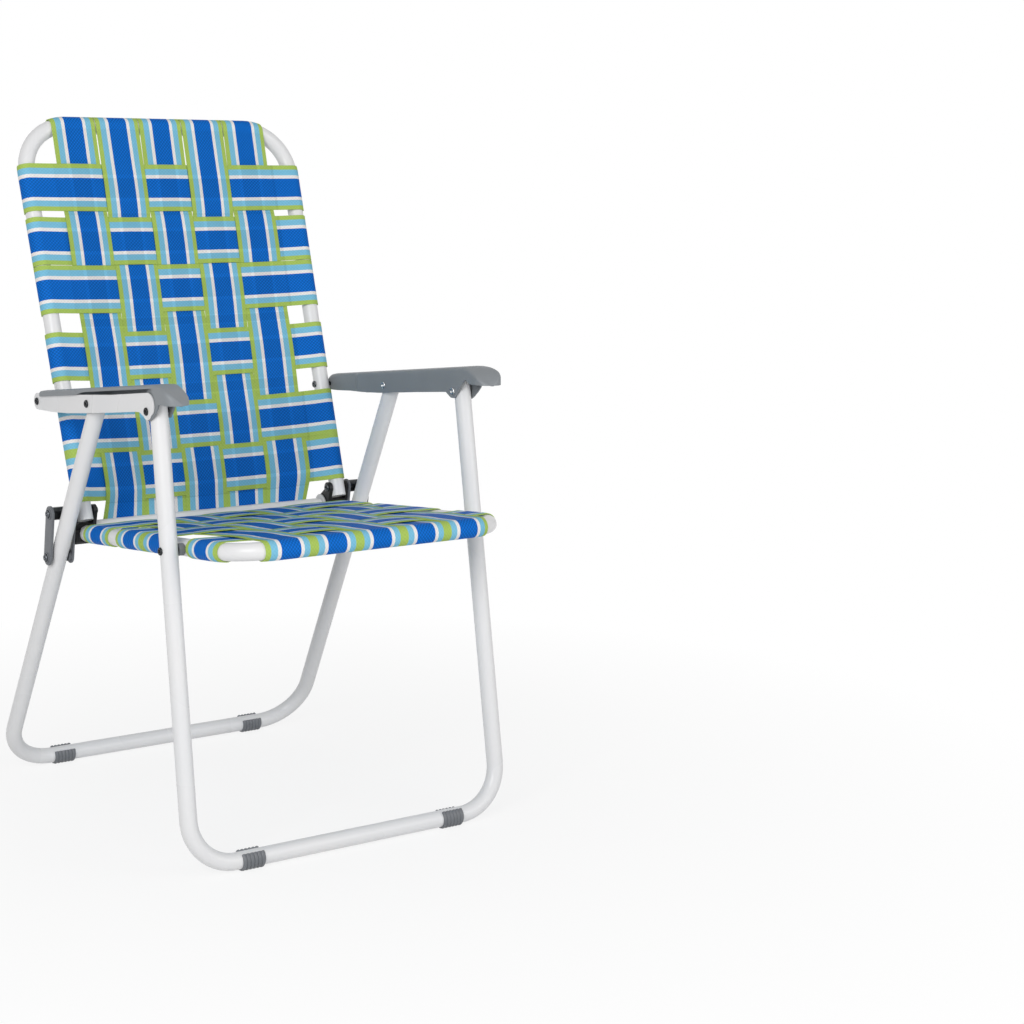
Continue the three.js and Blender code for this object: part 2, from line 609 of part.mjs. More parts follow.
// Armrest rivets: headed at both ends, with a collar that spaces the plate from the leg
const ARM_RIVET_SEAT = PLATE_END + CLEARANCE;
const outerRivetHead = head(
  ARM_RIVET_SEAT + RIVET_HEAD_HEIGHT,
  ARM_RIVET_SEAT,
  RIVET_HEAD_RADIUS,
  RIVET_RADIUS,
);
const ARM_RIVET_INSIDE = ARM_WALL_START - CLEARANCE;
const innerRivetHead = head(
  ARM_RIVET_INSIDE - RIVET_HEAD_HEIGHT,
  ARM_RIVET_INSIDE,
  RIVET_HEAD_RADIUS,
  RIVET_RADIUS,
).reverse();
const COLLAR_INSIDE = ARM_HALF_WIDTH + TUBE_RADIUS + CLEARANCE + REAR_LEG_SPLAY * RIVET_COLLAR_RADIUS;
const legRivetProfile = [
  ...outerRivetHead,
  [PLATE_START - CLEARANCE, RIVET_RADIUS],
  [PLATE_START - CLEARANCE, RIVET_COLLAR_RADIUS],
  [COLLAR_INSIDE, RIVET_COLLAR_RADIUS],
  [COLLAR_INSIDE, RIVET_RADIUS],
  ...innerRivetHead,
];
const REAR_BOSS_START = ARM_REAR_WALL_START - CLEARANCE;
const rearRivetProfile = [
  ...outerRivetHead,
  [REAR_BOSS_START, RIVET_RADIUS],
  [REAR_BOSS_START, 0],
];
const BACK_TUBE_INSIDE = BACK_TUBE_OUTSIDE - TUBE_DIAMETER;
const BACK_RIVET_SEAT = BACK_TUBE_INSIDE - CLEARANCE - BACK_SPLAY * RIVET_HEAD_RADIUS;
const backRivetProfile = headed(
  BACK_RIVET_SEAT - RIVET_HEAD_HEIGHT,
  BACK_RIVET_SEAT,
  REAR_BOSS_START - CLEARANCE,
  RIVET_HEAD_RADIUS,
  RIVET_RADIUS,
);

// Armrest side views. The top runs straight from the rear pivot to the crest of the front bill.
const ARM_REAR_END = ARM_REAR_PIVOT.x + ARM_REAR_OVERHANG;
const armTopAt = (depth) => {
  const share = (depth - ARM_FRONT_PIVOT.x) / ARM_LINE.x;
  const front = ARM_FRONT_PIVOT.y + ARM_TOP_ABOVE_FRONT_PIVOT;
  const rear = ARM_REAR_PIVOT.y + ARM_TOP_ABOVE_REAR_PIVOT;
  return front + (rear - front) * share;
};
const BILL_CREST = ARM_FRONT_PIVOT.x - BILL_CREST_AHEAD;
const BILL_TIP = BILL_CREST - BILL_LENGTH;
const BILL_LIP_HEIGHT = armTopAt(BILL_CREST) - BILL_DROP;

// The bill is a quarter ellipse from the crest down to the lip
function billPoints(inset) {
  const points = [];
  for (let i = 0; i <= 8; i += 1) {
    const angle = (i / 8) * (Math.PI / 2);
    points.push(sidePoint(
      BILL_CREST - (BILL_LENGTH - inset) * Math.sin(angle),
      BILL_LIP_HEIGHT + (BILL_DROP - inset) * Math.cos(angle),
    ));
  }
  return points;
}

const padOutline = [
  sidePoint(ARM_REAR_END, armTopAt(ARM_REAR_END)),
  ...billPoints(0),
  ...billPoints(ARM_PAD_THICKNESS).reverse(),
  sidePoint(ARM_REAR_END, armTopAt(ARM_REAR_END) - ARM_PAD_THICKNESS),
];
const from = (pivot, rearward, up) => sidePoint(pivot.x + rearward, pivot.y + up);
const ARM_JOG = ARM_REAR_PIVOT.x - ARM_JOG_AHEAD_OF_REAR_PIVOT;
const padMiddleAt = (depth) => sidePoint(depth, armTopAt(depth) - ARM_PAD_THICKNESS / 2);
const jogBottom = from(ARM_REAR_PIVOT, -ARM_JOG_AHEAD_OF_REAR_PIVOT, -ARM_WALL_BELOW_REAR);
const ARCH_FRONT = ARM_FRONT_PIVOT.x - LEG_ARCH_REACH;
const billMiddleAt = (depth) => BILL_LIP_HEIGHT + (BILL_DROP - ARM_PAD_THICKNESS / 2)
  * Math.sqrt(1 - ((BILL_CREST - depth) / (BILL_LENGTH - ARM_PAD_THICKNESS / 2)) ** 2);
const innerWallOutline = [
  padMiddleAt(ARM_JOG),
  padMiddleAt(BILL_CREST),
  sidePoint((BILL_CREST + ARCH_FRONT) / 2, billMiddleAt((BILL_CREST + ARCH_FRONT) / 2)),
  sidePoint(ARCH_FRONT, billMiddleAt(ARCH_FRONT)),
  from(ARM_FRONT_PIVOT, -LEG_ARCH_REACH, LEG_ARCH_RISE),
  from(ARM_FRONT_PIVOT, -2.4 * ARM_LOBE_RADIUS, LEG_ARCH_RISE),
  from(ARM_FRONT_PIVOT, -1.4 * ARM_LOBE_RADIUS, LEG_ARCH_RISE * 0.6),
  ...arcPoints(ARM_FRONT_PIVOT, ARM_LOBE_RADIUS, 180, 315, 8),
  from(ARM_FRONT_PIVOT, 1.2 * ARM_LOBE_RADIUS, -0.2 * ARM_LOBE_RADIUS),
  from(ARM_MIDDLE_PIVOT, 2 * TUBE_DIAMETER, -ARM_WALL_BELOW_MIDDLE),
  jogBottom,
];
const rearWallOutline = [
  jogBottom,
  from(ARM_REAR_PIVOT, -TUBE_DIAMETER, -ARM_WALL_BELOW_REAR),
  ...arcPoints(ARM_REAR_PIVOT, ARM_REAR_BOSS_RADIUS, 250, 360, 6),
  padMiddleAt(ARM_REAR_PIVOT.x + ARM_REAR_BOSS_RADIUS),
  padMiddleAt(ARM_JOG),
];

// Plan of the armrest: a wide bill in front, a jog outwards past the back tube behind
const PAD_INNER = ARM_WALL_START - ARM_PAD_INNER_LIP;
const PAD_OUTER = PLATE_END + ARM_PAD_OUTER_LIP;
const PAD_REAR_OUTER = PLATE_START - CLEARANCE;
const BILL_INNER = PAD_INNER - BILL_INNER_FLARE;
const BILL_OUTER = PAD_OUTER + BILL_OUTER_FLARE;
const BILL_REAR = ARM_FRONT_PIVOT.x + BILL_CREST_AHEAD;
const OVERHANG_END = ARM_MIDDLE_PIVOT.x;

function armPlan(side) {
  const plan = new THREE.Shape();
  const edge = (width) => width * side;
  plan.moveTo(edge(ARM_REAR_WALL_START), ARM_REAR_END);
  plan.lineTo(edge(ARM_REAR_WALL_START), ARM_JOG + ARM_JOG_WEB);
  plan.lineTo(edge(PAD_INNER), ARM_JOG);
  plan.lineTo(edge(PAD_INNER), BILL_REAR);
  plan.lineTo(edge(BILL_INNER), BILL_CREST);
  plan.lineTo(edge(BILL_INNER), BILL_TIP + BILL_CORNER_RADIUS);
  plan.quadraticCurveTo(edge(BILL_INNER), BILL_TIP, edge(BILL_INNER + BILL_CORNER_RADIUS), BILL_TIP);
  plan.lineTo(edge(BILL_OUTER - BILL_CORNER_RADIUS), BILL_TIP);
  plan.quadraticCurveTo(edge(BILL_OUTER), BILL_TIP, edge(BILL_OUTER), BILL_TIP + BILL_CORNER_RADIUS);
  plan.lineTo(edge(BILL_OUTER), BILL_CREST);
  plan.lineTo(edge(PAD_OUTER), BILL_REAR);
  plan.lineTo(edge(PAD_REAR_OUTER), OVERHANG_END);
  plan.lineTo(edge(PAD_REAR_OUTER), ARM_REAR_END - ARM_REAR_OVERHANG / 2);
  plan.quadraticCurveTo(
    edge(PAD_REAR_OUTER),
    ARM_REAR_END,
    edge(PAD_REAR_OUTER - ARM_REAR_OVERHANG / 2),
    ARM_REAR_END,
  );
  return plan;
}

function armMoulding(side) {
  const padHeights = padOutline.map((point) => point.y);
  const low = Math.min(...padHeights) - CLEARANCE;
  const high = Math.max(...padHeights) + CLEARANCE;
  const plan = new THREE.ExtrudeGeometry(armPlan(side), {
    depth: high - low,
    bevelEnabled: false,
    curveSegments: 5,
  });
  plan.translate(0, 0, low);
  const web = [
    jogBottom,
    from(jogBottom, ARM_JOG_WEB, 0),
    padMiddleAt(ARM_JOG + ARM_JOG_WEB),
    padMiddleAt(ARM_JOG),
  ];
  const boss = circlePoints(ARM_REAR_BOSS_RADIUS, TUBE_SIDES, ARM_REAR_PIVOT);
  let arm = solidOf(crosswise(padOutline, side * BILL_INNER, side * BILL_OUTER))
    .intersect(solidOf(plan))
    .add(solidOf(crosswise(innerWallOutline, side * ARM_WALL_START, side * ARM_WALL_END)))
    .add(solidOf(crosswise(web, side * ARM_WALL_START, side * ARM_REAR_WALL_END)))
    .add(solidOf(crosswise(rearWallOutline, side * ARM_REAR_WALL_START, side * ARM_REAR_WALL_END)))
    .add(solidOf(crosswise(boss, side * ARM_REAR_WALL_START, side * PAD_REAR_OUTER)));
  [ARM_FRONT_PIVOT, ARM_MIDDLE_PIVOT, ARM_REAR_PIVOT].forEach((pivot) => {
    const hole = circlePoints(RIVET_HOLE, PIN_SIDES, pivot);
    arm = arm.subtract(solidOf(crosswise(hole, side * BILL_INNER, side * BILL_OUTER)));
  });
  return geometryOf(arm);
}

const plateOutline = [
  ...arcPoints(ARM_REAR_PIVOT, PLATE_END_RADIUS, 90, -90, 10),
  from(ARM_MIDDLE_PIVOT, 2.7 * TUBE_DIAMETER, -PLATE_BELOW_MIDDLE),
  from(ARM_FRONT_PIVOT, 2.1 * ARM_LOBE_RADIUS, -0.25 * ARM_LOBE_RADIUS),
  ...arcPoints(ARM_FRONT_PIVOT, ARM_LOBE_RADIUS, -40, -190, 8),
  from(ARM_FRONT_PIVOT, -PLATE_NOSE_AHEAD, ARM_LOBE_RADIUS),
  from(ARM_FRONT_PIVOT, -PLATE_NOSE_AHEAD * 0.8, PLATE_TOP_ABOVE_FRONT * 0.8),
  from(ARM_FRONT_PIVOT, 0, PLATE_TOP_ABOVE_FRONT),
  from(ARM_REAR_PIVOT, 0, PLATE_TOP_ABOVE_REAR),
].filter((point, i, all) => point.distanceTo(all[(i + 1) % all.length]) > 0.01);

function armPlate(side) {
  let plate = solidOf(crosswise(plateOutline, side * PLATE_START, side * PLATE_END));
  [ARM_FRONT_PIVOT, ARM_MIDDLE_PIVOT, ARM_REAR_PIVOT].forEach((pivot) => {
    const hole = circlePoints(RIVET_HOLE, PIN_SIDES, pivot);
    plate = plate.subtract(solidOf(crosswise(hole, side * (PLATE_START - 1), side * (PLATE_END + 1))));
  });
  return geometryOf(plate);
}

// Foot clip: a C-shaped sleeve, open on top, with a flat sole and grooves round it
function footSection(outerRadius) {
  const bar = sidePoint(0, FLOOR_BAR_HEIGHT);
  const first = 90 + FOOT_OPENING / 2;
  const last = 450 - FOOT_OPENING / 2;
  const soleSpread = THREE.MathUtils.radToDeg(Math.acos(FLOOR_BAR_HEIGHT / outerRadius));
  return [
    ...arcPoints(bar, outerRadius, first, 270 - soleSpread, 5),
    ...arcPoints(bar, outerRadius, 270 + soleSpread, last, 5),
    ...arcPoints(bar, TUBE_RADIUS + CLEARANCE, last, first, 11),
  ];
}

function footClip(centreWidth, bar) {
  const grooveWidth = FOOT_LENGTH / (2 * FOOT_GROOVES + 1);
  const slope = grooveWidth / 6;
  const stations = [];
  for (let i = 0; i <= 2 * FOOT_GROOVES; i += 1) {
    const radius = FOOT_RADIUS - (i % 2) * FOOT_GROOVE_DEPTH;
    const start = centreWidth - FOOT_LENGTH / 2 + i * grooveWidth;
    stations.push([start + (i === 0 ? 0 : slope), radius]);
    stations.push([start + grooveWidth - (i === 2 * FOOT_GROOVES ? 0 : slope), radius]);
  }
  const rings = stations.map(([width, radius]) => footSection(radius).map((point) => (
    new THREE.Vector3(width, bar.x + point.x, point.y)
  )));
  return lofted(rings);
}

// A solid through a row of closed rings with equal point counts, capped at both ends
function lofted(rings) {
  const count = rings[0].length;
  const positions = rings.flat().flatMap((point) => point.toArray());
  const index = [];
  for (let r = 0; r < rings.length - 1; r += 1) {
    for (let i = 0; i < count; i += 1) {
      const a = r * count + i;
      const b = r * count + ((i + 1) % count);
      index.push(a, b, a + count, b, b + count, a + count);
    }
  }
  const cap = THREE.ShapeUtils.triangulateShape(rings[0].map((point) => sidePoint(point.y, point.z)), []);
  const lastRing = (rings.length - 1) * count;
  cap.forEach(([a, b, c]) => {
    index.push(a, c, b, lastRing + a, lastRing + b, lastRing + c);
  });
  const geometry = new THREE.BufferGeometry();
  geometry.setAttribute('position', new THREE.Float32BufferAttribute(positions, 3));
  geometry.setIndex(index);
  return geometry;
}

[[-1, 'right'], [1, 'left']].forEach(([side, label]) => {
  addPiece(`crossbar_bush_${label}`, turned(bushProfile, side, CROSSBAR), palePlastic);
  addPiece(`hinge_bracket_${label}`, hingeBracket(side), darkPlastic);
  addPiece(`hinge_pin_${label}`, turned(hingePinProfile, side, HINGE), zinc);
  addPiece(
    `link_inner_${label}`,
    linkPlate(side, INNER_LINK_START, INNER_LINK_END, innerLinkBosses),
    darkPlastic,
  );
  addPiece(
    `link_outer_${label}`,
    linkPlate(side, OUTER_LINK_START, OUTER_LINK_END, outerLinkBosses),
    darkPlastic,
  );
  addPiece(`link_pin_upper_${label}`, turned(upperLinkPinProfile, side, HINGE), zinc);
  addPiece(`link_pin_lower_${label}`, turned(lowerLinkPinProfile, side, LINK_LOWER_PIVOT), zinc);
  addPiece(`seat_spacer_${label}`, turned(spacerProfile, side, SEAT_PIVOT), darkPlastic);
  addPiece(`seat_rivet_${label}`, turned(seatRivetProfile, side, SEAT_PIVOT), zinc);
  addPiece(`arm_${label}`, armMoulding(side), greyPlastic);
  addPiece(`arm_plate_${label}`, armPlate(side), whitePaint);
  addPiece(`arm_rivet_front_${label}`, turned(legRivetProfile, side, ARM_FRONT_PIVOT), zinc);
  addPiece(`arm_rivet_middle_${label}`, turned(legRivetProfile, side, ARM_MIDDLE_PIVOT), zinc);
  addPiece(`arm_rivet_rear_${label}`, turned(rearRivetProfile, side, ARM_REAR_PIVOT), zinc);
  addPiece(`back_rivet_${label}`, turned(backRivetProfile, side, ARM_REAR_PIVOT), zinc);
  const frontClip = frontBarHalfWidth - FRONT_BEND_RADIUS - FOOT_FROM_BEND - FOOT_LENGTH / 2;
  const rearClip = rearBarHalfWidth - REAR_BEND_RADIUS - FOOT_FROM_BEND - FOOT_LENGTH / 2;
  addPiece(`foot_front_${label}`, facingOut(footClip(side * frontClip, FRONT_BAR)), greyPlastic);
  addPiece(`foot_rear_${label}`, facingOut(footClip(side * rearClip, REAR_BAR)), greyPlastic);
});

// Webbing. A strap is a grid of points: rows across its width, columns along its length,
// and each point has a place on the strap's middle and the direction that its face looks.
function strap(rows) {
  const columns = rows[0].length;
  const half = WEBBING_THICKNESS / 2;
  const positions = [];
  rows.flat().forEach(({ middle, facing }) => {
    positions.push(...middle.clone().addScaledVector(facing, half).toArray());
    positions.push(...middle.clone().addScaledVector(facing, -half).toArray());
  });
  const at = (row, column, side) => 2 * (row * columns + column) + side;
  const index = [];
  const quad = (a, b, c, d) => index.push(a, b, c, a, c, d);
  for (let r = 0; r < rows.length - 1; r += 1) {
    for (let c = 0; c < columns - 1; c += 1) {
      quad(at(r, c, 0), at(r, c + 1, 0), at(r + 1, c + 1, 0), at(r + 1, c, 0));
      quad(at(r, c, 1), at(r + 1, c, 1), at(r + 1, c + 1, 1), at(r, c + 1, 1));
    }
    quad(at(r, 0, 0), at(r + 1, 0, 0), at(r + 1, 0, 1), at(r, 0, 1));
    quad(at(r, columns - 1, 0), at(r, columns - 1, 1), at(r + 1, columns - 1, 1), at(r + 1, columns - 1, 0));
  }
  const lastRow = rows.length - 1;
  for (let c = 0; c < columns - 1; c += 1) {
    quad(at(0, c, 0), at(0, c, 1), at(0, c + 1, 1), at(0, c + 1, 0));
    quad(at(lastRow, c, 0), at(lastRow, c + 1, 0), at(lastRow, c + 1, 1), at(lastRow, c, 1));
  }
  const geometry = new THREE.BufferGeometry();
  geometry.setAttribute('position', new THREE.Float32BufferAttribute(positions, 3));
  geometry.setIndex(index);
  return facingOut(geometry);
}

// Where a strap lies on a bend: how far the tube has turned in, and how slanted it is there
function bendAt(beyond, radius) {
  const inBend = Math.max(0, beyond);
  const slant = Math.asin(inBend / radius);
  return { turnedIn: radius * (1 - Math.cos(slant)), stretch: 1 / Math.cos(slant) };
}

// Rows across a strap's width, closer together where it lies on a bend
function rowPlaces(start, end, bendStart) {
  const places = [start, end];
  const low = Math.max(bendStart, Math.min(start, end));
  const high = Math.max(start, end);
  if (high - low > 0.5 && bendStart < high) {
    const count = Math.ceil((high - low) / 9);
    for (let i = 0; i < count; i += 1) {
      places.push(low + ((high - low) * i) / count);
    }
  }
  const unique = [...new Set(places)];
  return unique.sort((a, b) => a - b);
}

const lengthwiseCentres = Array.from(
  { length: LENGTHWISE_STRAPS },
  (_, i) => (i - (LENGTHWISE_STRAPS - 1) / 2) * LENGTHWISE_PITCH,
);
const TRANSITION_MARGIN = 0.1;
const halfStrap = LENGTHWISE_WIDTH / 2 + TRANSITION_MARGIN;
const weaveSide = (row, column) => ((row + column) % 2 === 0 ? 1 : -1);

// A crosswise strap: round one side tube, across in the weave, round the other.
// Its rows are given as places on the frame: { halfWidth, stretch, place(width, forward) }.
function crosswiseStrap(rowNumber, rowFrames) {
  return strap(rowFrames.map(({ halfWidth, stretch, place, facing }) => {
    const points = [];
    const wrap = (side, step) => {
      const angle = THREE.MathUtils.degToRad((WRAP_ANGLE * step) / WRAP_STEPS);
      const outward = Math.sin(angle) * side;
      const forward = Math.cos(angle);
      const normal = facing.clone().multiplyScalar(forward).add(new THREE.Vector3(outward * stretch, 0, 0));
      points.push({
        middle: place(side * halfWidth + outward * stretch * STRAP_MIDDLE, forward * STRAP_MIDDLE),
        facing: normal,
      });
    };
    for (let step = WRAP_STEPS; step >= 0; step -= 1) {
      wrap(-1, step);
    }
    lengthwiseCentres.forEach((centre, column) => {
      const lift = STRAP_MIDDLE + WEAVE_LIFT * weaveSide(rowNumber, column);
      points.push({ middle: place(centre - halfStrap, lift), facing });
      points.push({ middle: place(centre + halfStrap, lift), facing });
    });
    for (let step = 0; step <= WRAP_STEPS; step += 1) {
      wrap(1, step);
    }
    return points;
  }));
}

const facingForward = new THREE.Vector3(0, BACK_NORMAL.x, BACK_NORMAL.y);
const facingUp = new THREE.Vector3(0, SEAT_NORMAL.x, SEAT_NORMAL.y);

BACK_STRAP_TOPS.forEach((top, rowNumber) => {
  const bendStart = BACK_LENGTH - BACK_BEND_RADIUS;
  const frames = rowPlaces(top - WEBBING_WIDTH, top, bendStart).map((up) => {
    const { turnedIn, stretch } = bendAt(up - bendStart, BACK_BEND_RADIUS);
    return {
      halfWidth: backHalfWidth(up) - turnedIn,
      stretch,
      place: (width, forward) => atWidth(onBack(up, forward), width),
      facing: facingForward,
    };
  });
  addPiece(`back_strap_across_${rowNumber + 1}`, crosswiseStrap(rowNumber, frames), blueWebbing);
});

SEAT_STRAP_REARS.forEach((rear, rowNumber) => {
  const bendStart = SEAT_AHEAD_OF_PIVOT - SEAT_BEND_RADIUS;
  const frames = rowPlaces(-rear, SEAT_WEBBING_WIDTH - rear, bendStart).map((ahead) => {
    const { turnedIn, stretch } = bendAt(ahead - bendStart, SEAT_BEND_RADIUS);
    return {
      halfWidth: SEAT_HALF_WIDTH - turnedIn,
      stretch,
      place: (width, up) => atWidth(onSeat(-ahead, up), width),
      facing: facingUp,
    };
  });
  addPiece(`seat_strap_across_${rowNumber + 1}`, crosswiseStrap(rowNumber, frames), blueWebbing);
});

// Lengthwise straps pass behind and under the crossbar between the back and the seat.
const CROSSBAR_STRAP_MIDDLE = CROSSBAR_RADIUS + WRAP_CLEARANCE + WEBBING_THICKNESS / 2;
const SWING_START = BACK_STRAP_TOPS[BACK_STRAP_TOPS.length - 1] - WEBBING_WIDTH - TRANSITION_MARGIN;
const SWING_DROP = 4;

// Where a line from a point meets the strap's circle round the crossbar, on its upper rear side
function tangentToCrossbar(point, upperSide) {
  const towards = CROSSBAR.clone().sub(point);
  const spread = Math.asin(CROSSBAR_STRAP_MIDDLE / towards.length());
  const heading = THREE.MathUtils.radToDeg(towards.angle() + (upperSide ? spread : -spread));
  return alongLine(point, direction(heading), towards.length() * Math.cos(spread));
}

const inSide = (point) => new THREE.Vector3(0, point.x, point.y);

lengthwiseCentres.forEach((centre, column) => {
  const outermost = Math.abs(centre) + LENGTHWISE_WIDTH / 2;
  const sign = centre < 0 ? -1 : 1;
  const widths = (bendStart) => rowPlaces(outermost - LENGTHWISE_WIDTH, outermost, bendStart)
    .map((width) => width * sign);

  const topStraight = backHalfWidth(BACK_LENGTH) - BACK_BEND_RADIUS;
  const backRows = widths(topStraight).map((width) => {
    const { turnedIn, stretch } = bendAt(Math.abs(width) - topStraight, BACK_BEND_RADIUS);
    const points = [];
    for (let step = WRAP_STEPS; step >= 0; step -= 1) {
      const angle = THREE.MathUtils.degToRad((WRAP_ANGLE * step) / WRAP_STEPS);
      const up = Math.sin(angle) * stretch;
      const forward = Math.cos(angle);
      const facing = BACK_UP.clone().multiplyScalar(up).addScaledVector(BACK_NORMAL, forward);
      points.push({
        middle: atWidth(onBack(BACK_LENGTH - turnedIn + up * STRAP_MIDDLE, forward * STRAP_MIDDLE), width),
        facing: inSide(facing),
      });
    }
    let lift = STRAP_MIDDLE;
    BACK_STRAP_TOPS.forEach((top, rowNumber) => {
      lift = STRAP_MIDDLE - WEAVE_LIFT * weaveSide(rowNumber, column);
      const places = [top + TRANSITION_MARGIN, top - WEBBING_WIDTH - TRANSITION_MARGIN];
      places.forEach((up) => {
        points.push({ middle: atWidth(onBack(up, lift), width), facing: facingForward });
      });
    });
    const knee = onBack(SWING_START - SWING_DROP, lift);
    const landing = tangentToCrossbar(knee, true);
    const swing = landing.clone().sub(knee).normalize();
    const swingFacing = sidePoint(swing.y, -swing.x);
    const kneeFacing = swingFacing.clone().add(BACK_NORMAL).normalize();
    points.push({ middle: atWidth(knee, width), facing: inSide(kneeFacing) });
    points.push({
      middle: atWidth(alongLine(landing, swing, -2 * CLEARANCE), width),
      facing: inSide(swingFacing),
    });
    return points;
  });
  addPiece(`back_strap_down_${column + 1}`, strap(backRows), blueWebbing);

  const knee = onBack(SWING_START - SWING_DROP, STRAP_MIDDLE);
  const landing = tangentToCrossbar(knee, true).sub(CROSSBAR).angle();
  const seatFront = SEAT_AHEAD_OF_PIVOT;
  const frontStraight = SEAT_HALF_WIDTH - SEAT_BEND_RADIUS;
  const seatRows = widths(frontStraight).map((width) => {
    const { turnedIn, stretch } = bendAt(Math.abs(width) - frontStraight, SEAT_BEND_RADIUS);
    const points = [];
    const firstAngle = THREE.MathUtils.radToDeg(landing);
    const firstLift = STRAP_MIDDLE - WEAVE_LIFT * weaveSide(0, column);
    const firstRow = onSeat(SEAT_STRAP_REARS[0] + TRANSITION_MARGIN, firstLift);
    const leaving = tangentToCrossbar(firstRow, false).sub(CROSSBAR).angle();
    const lastAngle = THREE.MathUtils.radToDeg(leaving) - 360;
    arcPoints(CROSSBAR, CROSSBAR_STRAP_MIDDLE, firstAngle, lastAngle, WRAP_STEPS).forEach((point) => {
      const facing = CROSSBAR.clone().sub(point).normalize();
      points.push({ middle: atWidth(point, width), facing: inSide(facing) });
    });
    SEAT_STRAP_REARS.forEach((rear, rowNumber) => {
      const lift = STRAP_MIDDLE - WEAVE_LIFT * weaveSide(rowNumber, column);
      const places = [rear + TRANSITION_MARGIN, rear - SEAT_WEBBING_WIDTH - TRANSITION_MARGIN];
      places.forEach((rearward) => {
        points.push({ middle: atWidth(onSeat(rearward, lift), width), facing: facingUp });
      });
    });
    for (let step = 0; step <= WRAP_STEPS; step += 1) {
      const angle = THREE.MathUtils.degToRad((WRAP_ANGLE * step) / WRAP_STEPS);
      const ahead = Math.sin(angle) * stretch;
      const up = Math.cos(angle);
      const facing = SEAT_NORMAL.clone().multiplyScalar(up).addScaledVector(SEAT_REARWARD, -ahead);
      points.push({
        middle: atWidth(onSeat(turnedIn - seatFront - ahead * STRAP_MIDDLE, up * STRAP_MIDDLE), width),
        facing: inSide(facing),
      });
    }
    return points;
  });
  addPiece(`seat_strap_along_${column + 1}`, strap(seatRows), blueWebbing);
});

// The origin is on the floor, in the middle of the chair's footprint.
const extent = new THREE.Box3().setFromObject(chair);
const middle = extent.getCenter(new THREE.Vector3());
chair.position.set(-middle.x, -middle.y, -extent.min.z);

const model = new THREE.Group();
model.add(chair);
export default model;
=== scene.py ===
import math
import bpy
from mathutils import Matrix, Vector


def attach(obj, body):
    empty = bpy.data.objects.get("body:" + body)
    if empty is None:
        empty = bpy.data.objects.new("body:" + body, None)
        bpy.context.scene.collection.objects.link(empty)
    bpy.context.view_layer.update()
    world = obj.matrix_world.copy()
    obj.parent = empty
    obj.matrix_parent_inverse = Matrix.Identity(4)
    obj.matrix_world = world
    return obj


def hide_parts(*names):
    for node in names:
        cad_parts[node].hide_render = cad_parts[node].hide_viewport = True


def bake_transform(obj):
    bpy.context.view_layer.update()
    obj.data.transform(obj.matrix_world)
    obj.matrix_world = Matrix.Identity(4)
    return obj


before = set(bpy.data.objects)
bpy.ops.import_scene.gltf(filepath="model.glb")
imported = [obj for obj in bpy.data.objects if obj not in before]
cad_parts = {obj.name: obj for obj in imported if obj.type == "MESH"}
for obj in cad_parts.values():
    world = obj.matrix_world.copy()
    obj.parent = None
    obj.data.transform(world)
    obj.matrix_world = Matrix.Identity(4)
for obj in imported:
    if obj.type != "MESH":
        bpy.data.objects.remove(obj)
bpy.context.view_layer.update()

# Front leg frame: one steel tube, bent into a U that stands on its closed end.
# It is sprayed with white powder paint after bending, and baked.
# Its two open ends run up into the armrests, where a rivet holds each.
TUBE = 22
TUBE_WALL = 1.2
FRONT_BAR = (0, 12.6)
FRONT_LEG_TOP = (84.94, 576.87)
FRONT_TOP_HALF_WIDTH = 221.14
FRONT_BAR_HALF_WIDTH = 228.42
FRONT_BEND = 60
MIDDLE_DEPTH = 248.975


def spot(across, depth, height):
    """A place in metres, from millimetres across, back from the front floor bar and up from the floor."""
    return Vector((across, depth - MIDDLE_DEPTH, height)) / 1000


def linear(code):
    """An sRGB hex colour as the linear colour that a shader takes."""
    values = [int(code[i:i + 2], 16) / 255 for i in (0, 2, 4)]
    return [v / 12.92 if v < 0.04045 else ((v + 0.055) / 1.055) ** 2.4 for v in values] + [1]


def add_node(material, kind, settings, links):
    """Adds one shader node with its settings, and links its sockets to the outputs that feed them."""
    node = material.node_tree.nodes.new(kind)
    for name, value in settings.items():
        if isinstance(name, str) and hasattr(node, name):
            setattr(node, name, value)
        else:
            node.inputs[name].default_value = value
    for name, source in links.items():
        material.node_tree.links.new(source, node.inputs[name])
    return node


def new_material(name):
    """An empty node material with its output node."""
    material = bpy.data.materials.new(name)
    material.use_nodes = True
    material.node_tree.nodes.clear()
    return material


def weld():
    """Merges double places in the mesh being edited, turns its faces outwards and ends the editing."""
    bpy.ops.mesh.select_all(action="SELECT")
    bpy.ops.mesh.remove_doubles(threshold=1e-6)
    bpy.ops.mesh.normals_make_consistent(inside=False)
    bpy.ops.object.mode_set(mode="OBJECT")


def thicken(piece, thickness, offset):
    """Gives a sheet its thickness in millimetres, inwards at an offset of -1 and to both sides at 0."""
    shell = piece.modifiers.new("Wall", "SOLIDIFY")
    shell.thickness = thickness / 1000
    shell.offset = offset
    bpy.ops.object.modifier_apply(modifier=shell.name)


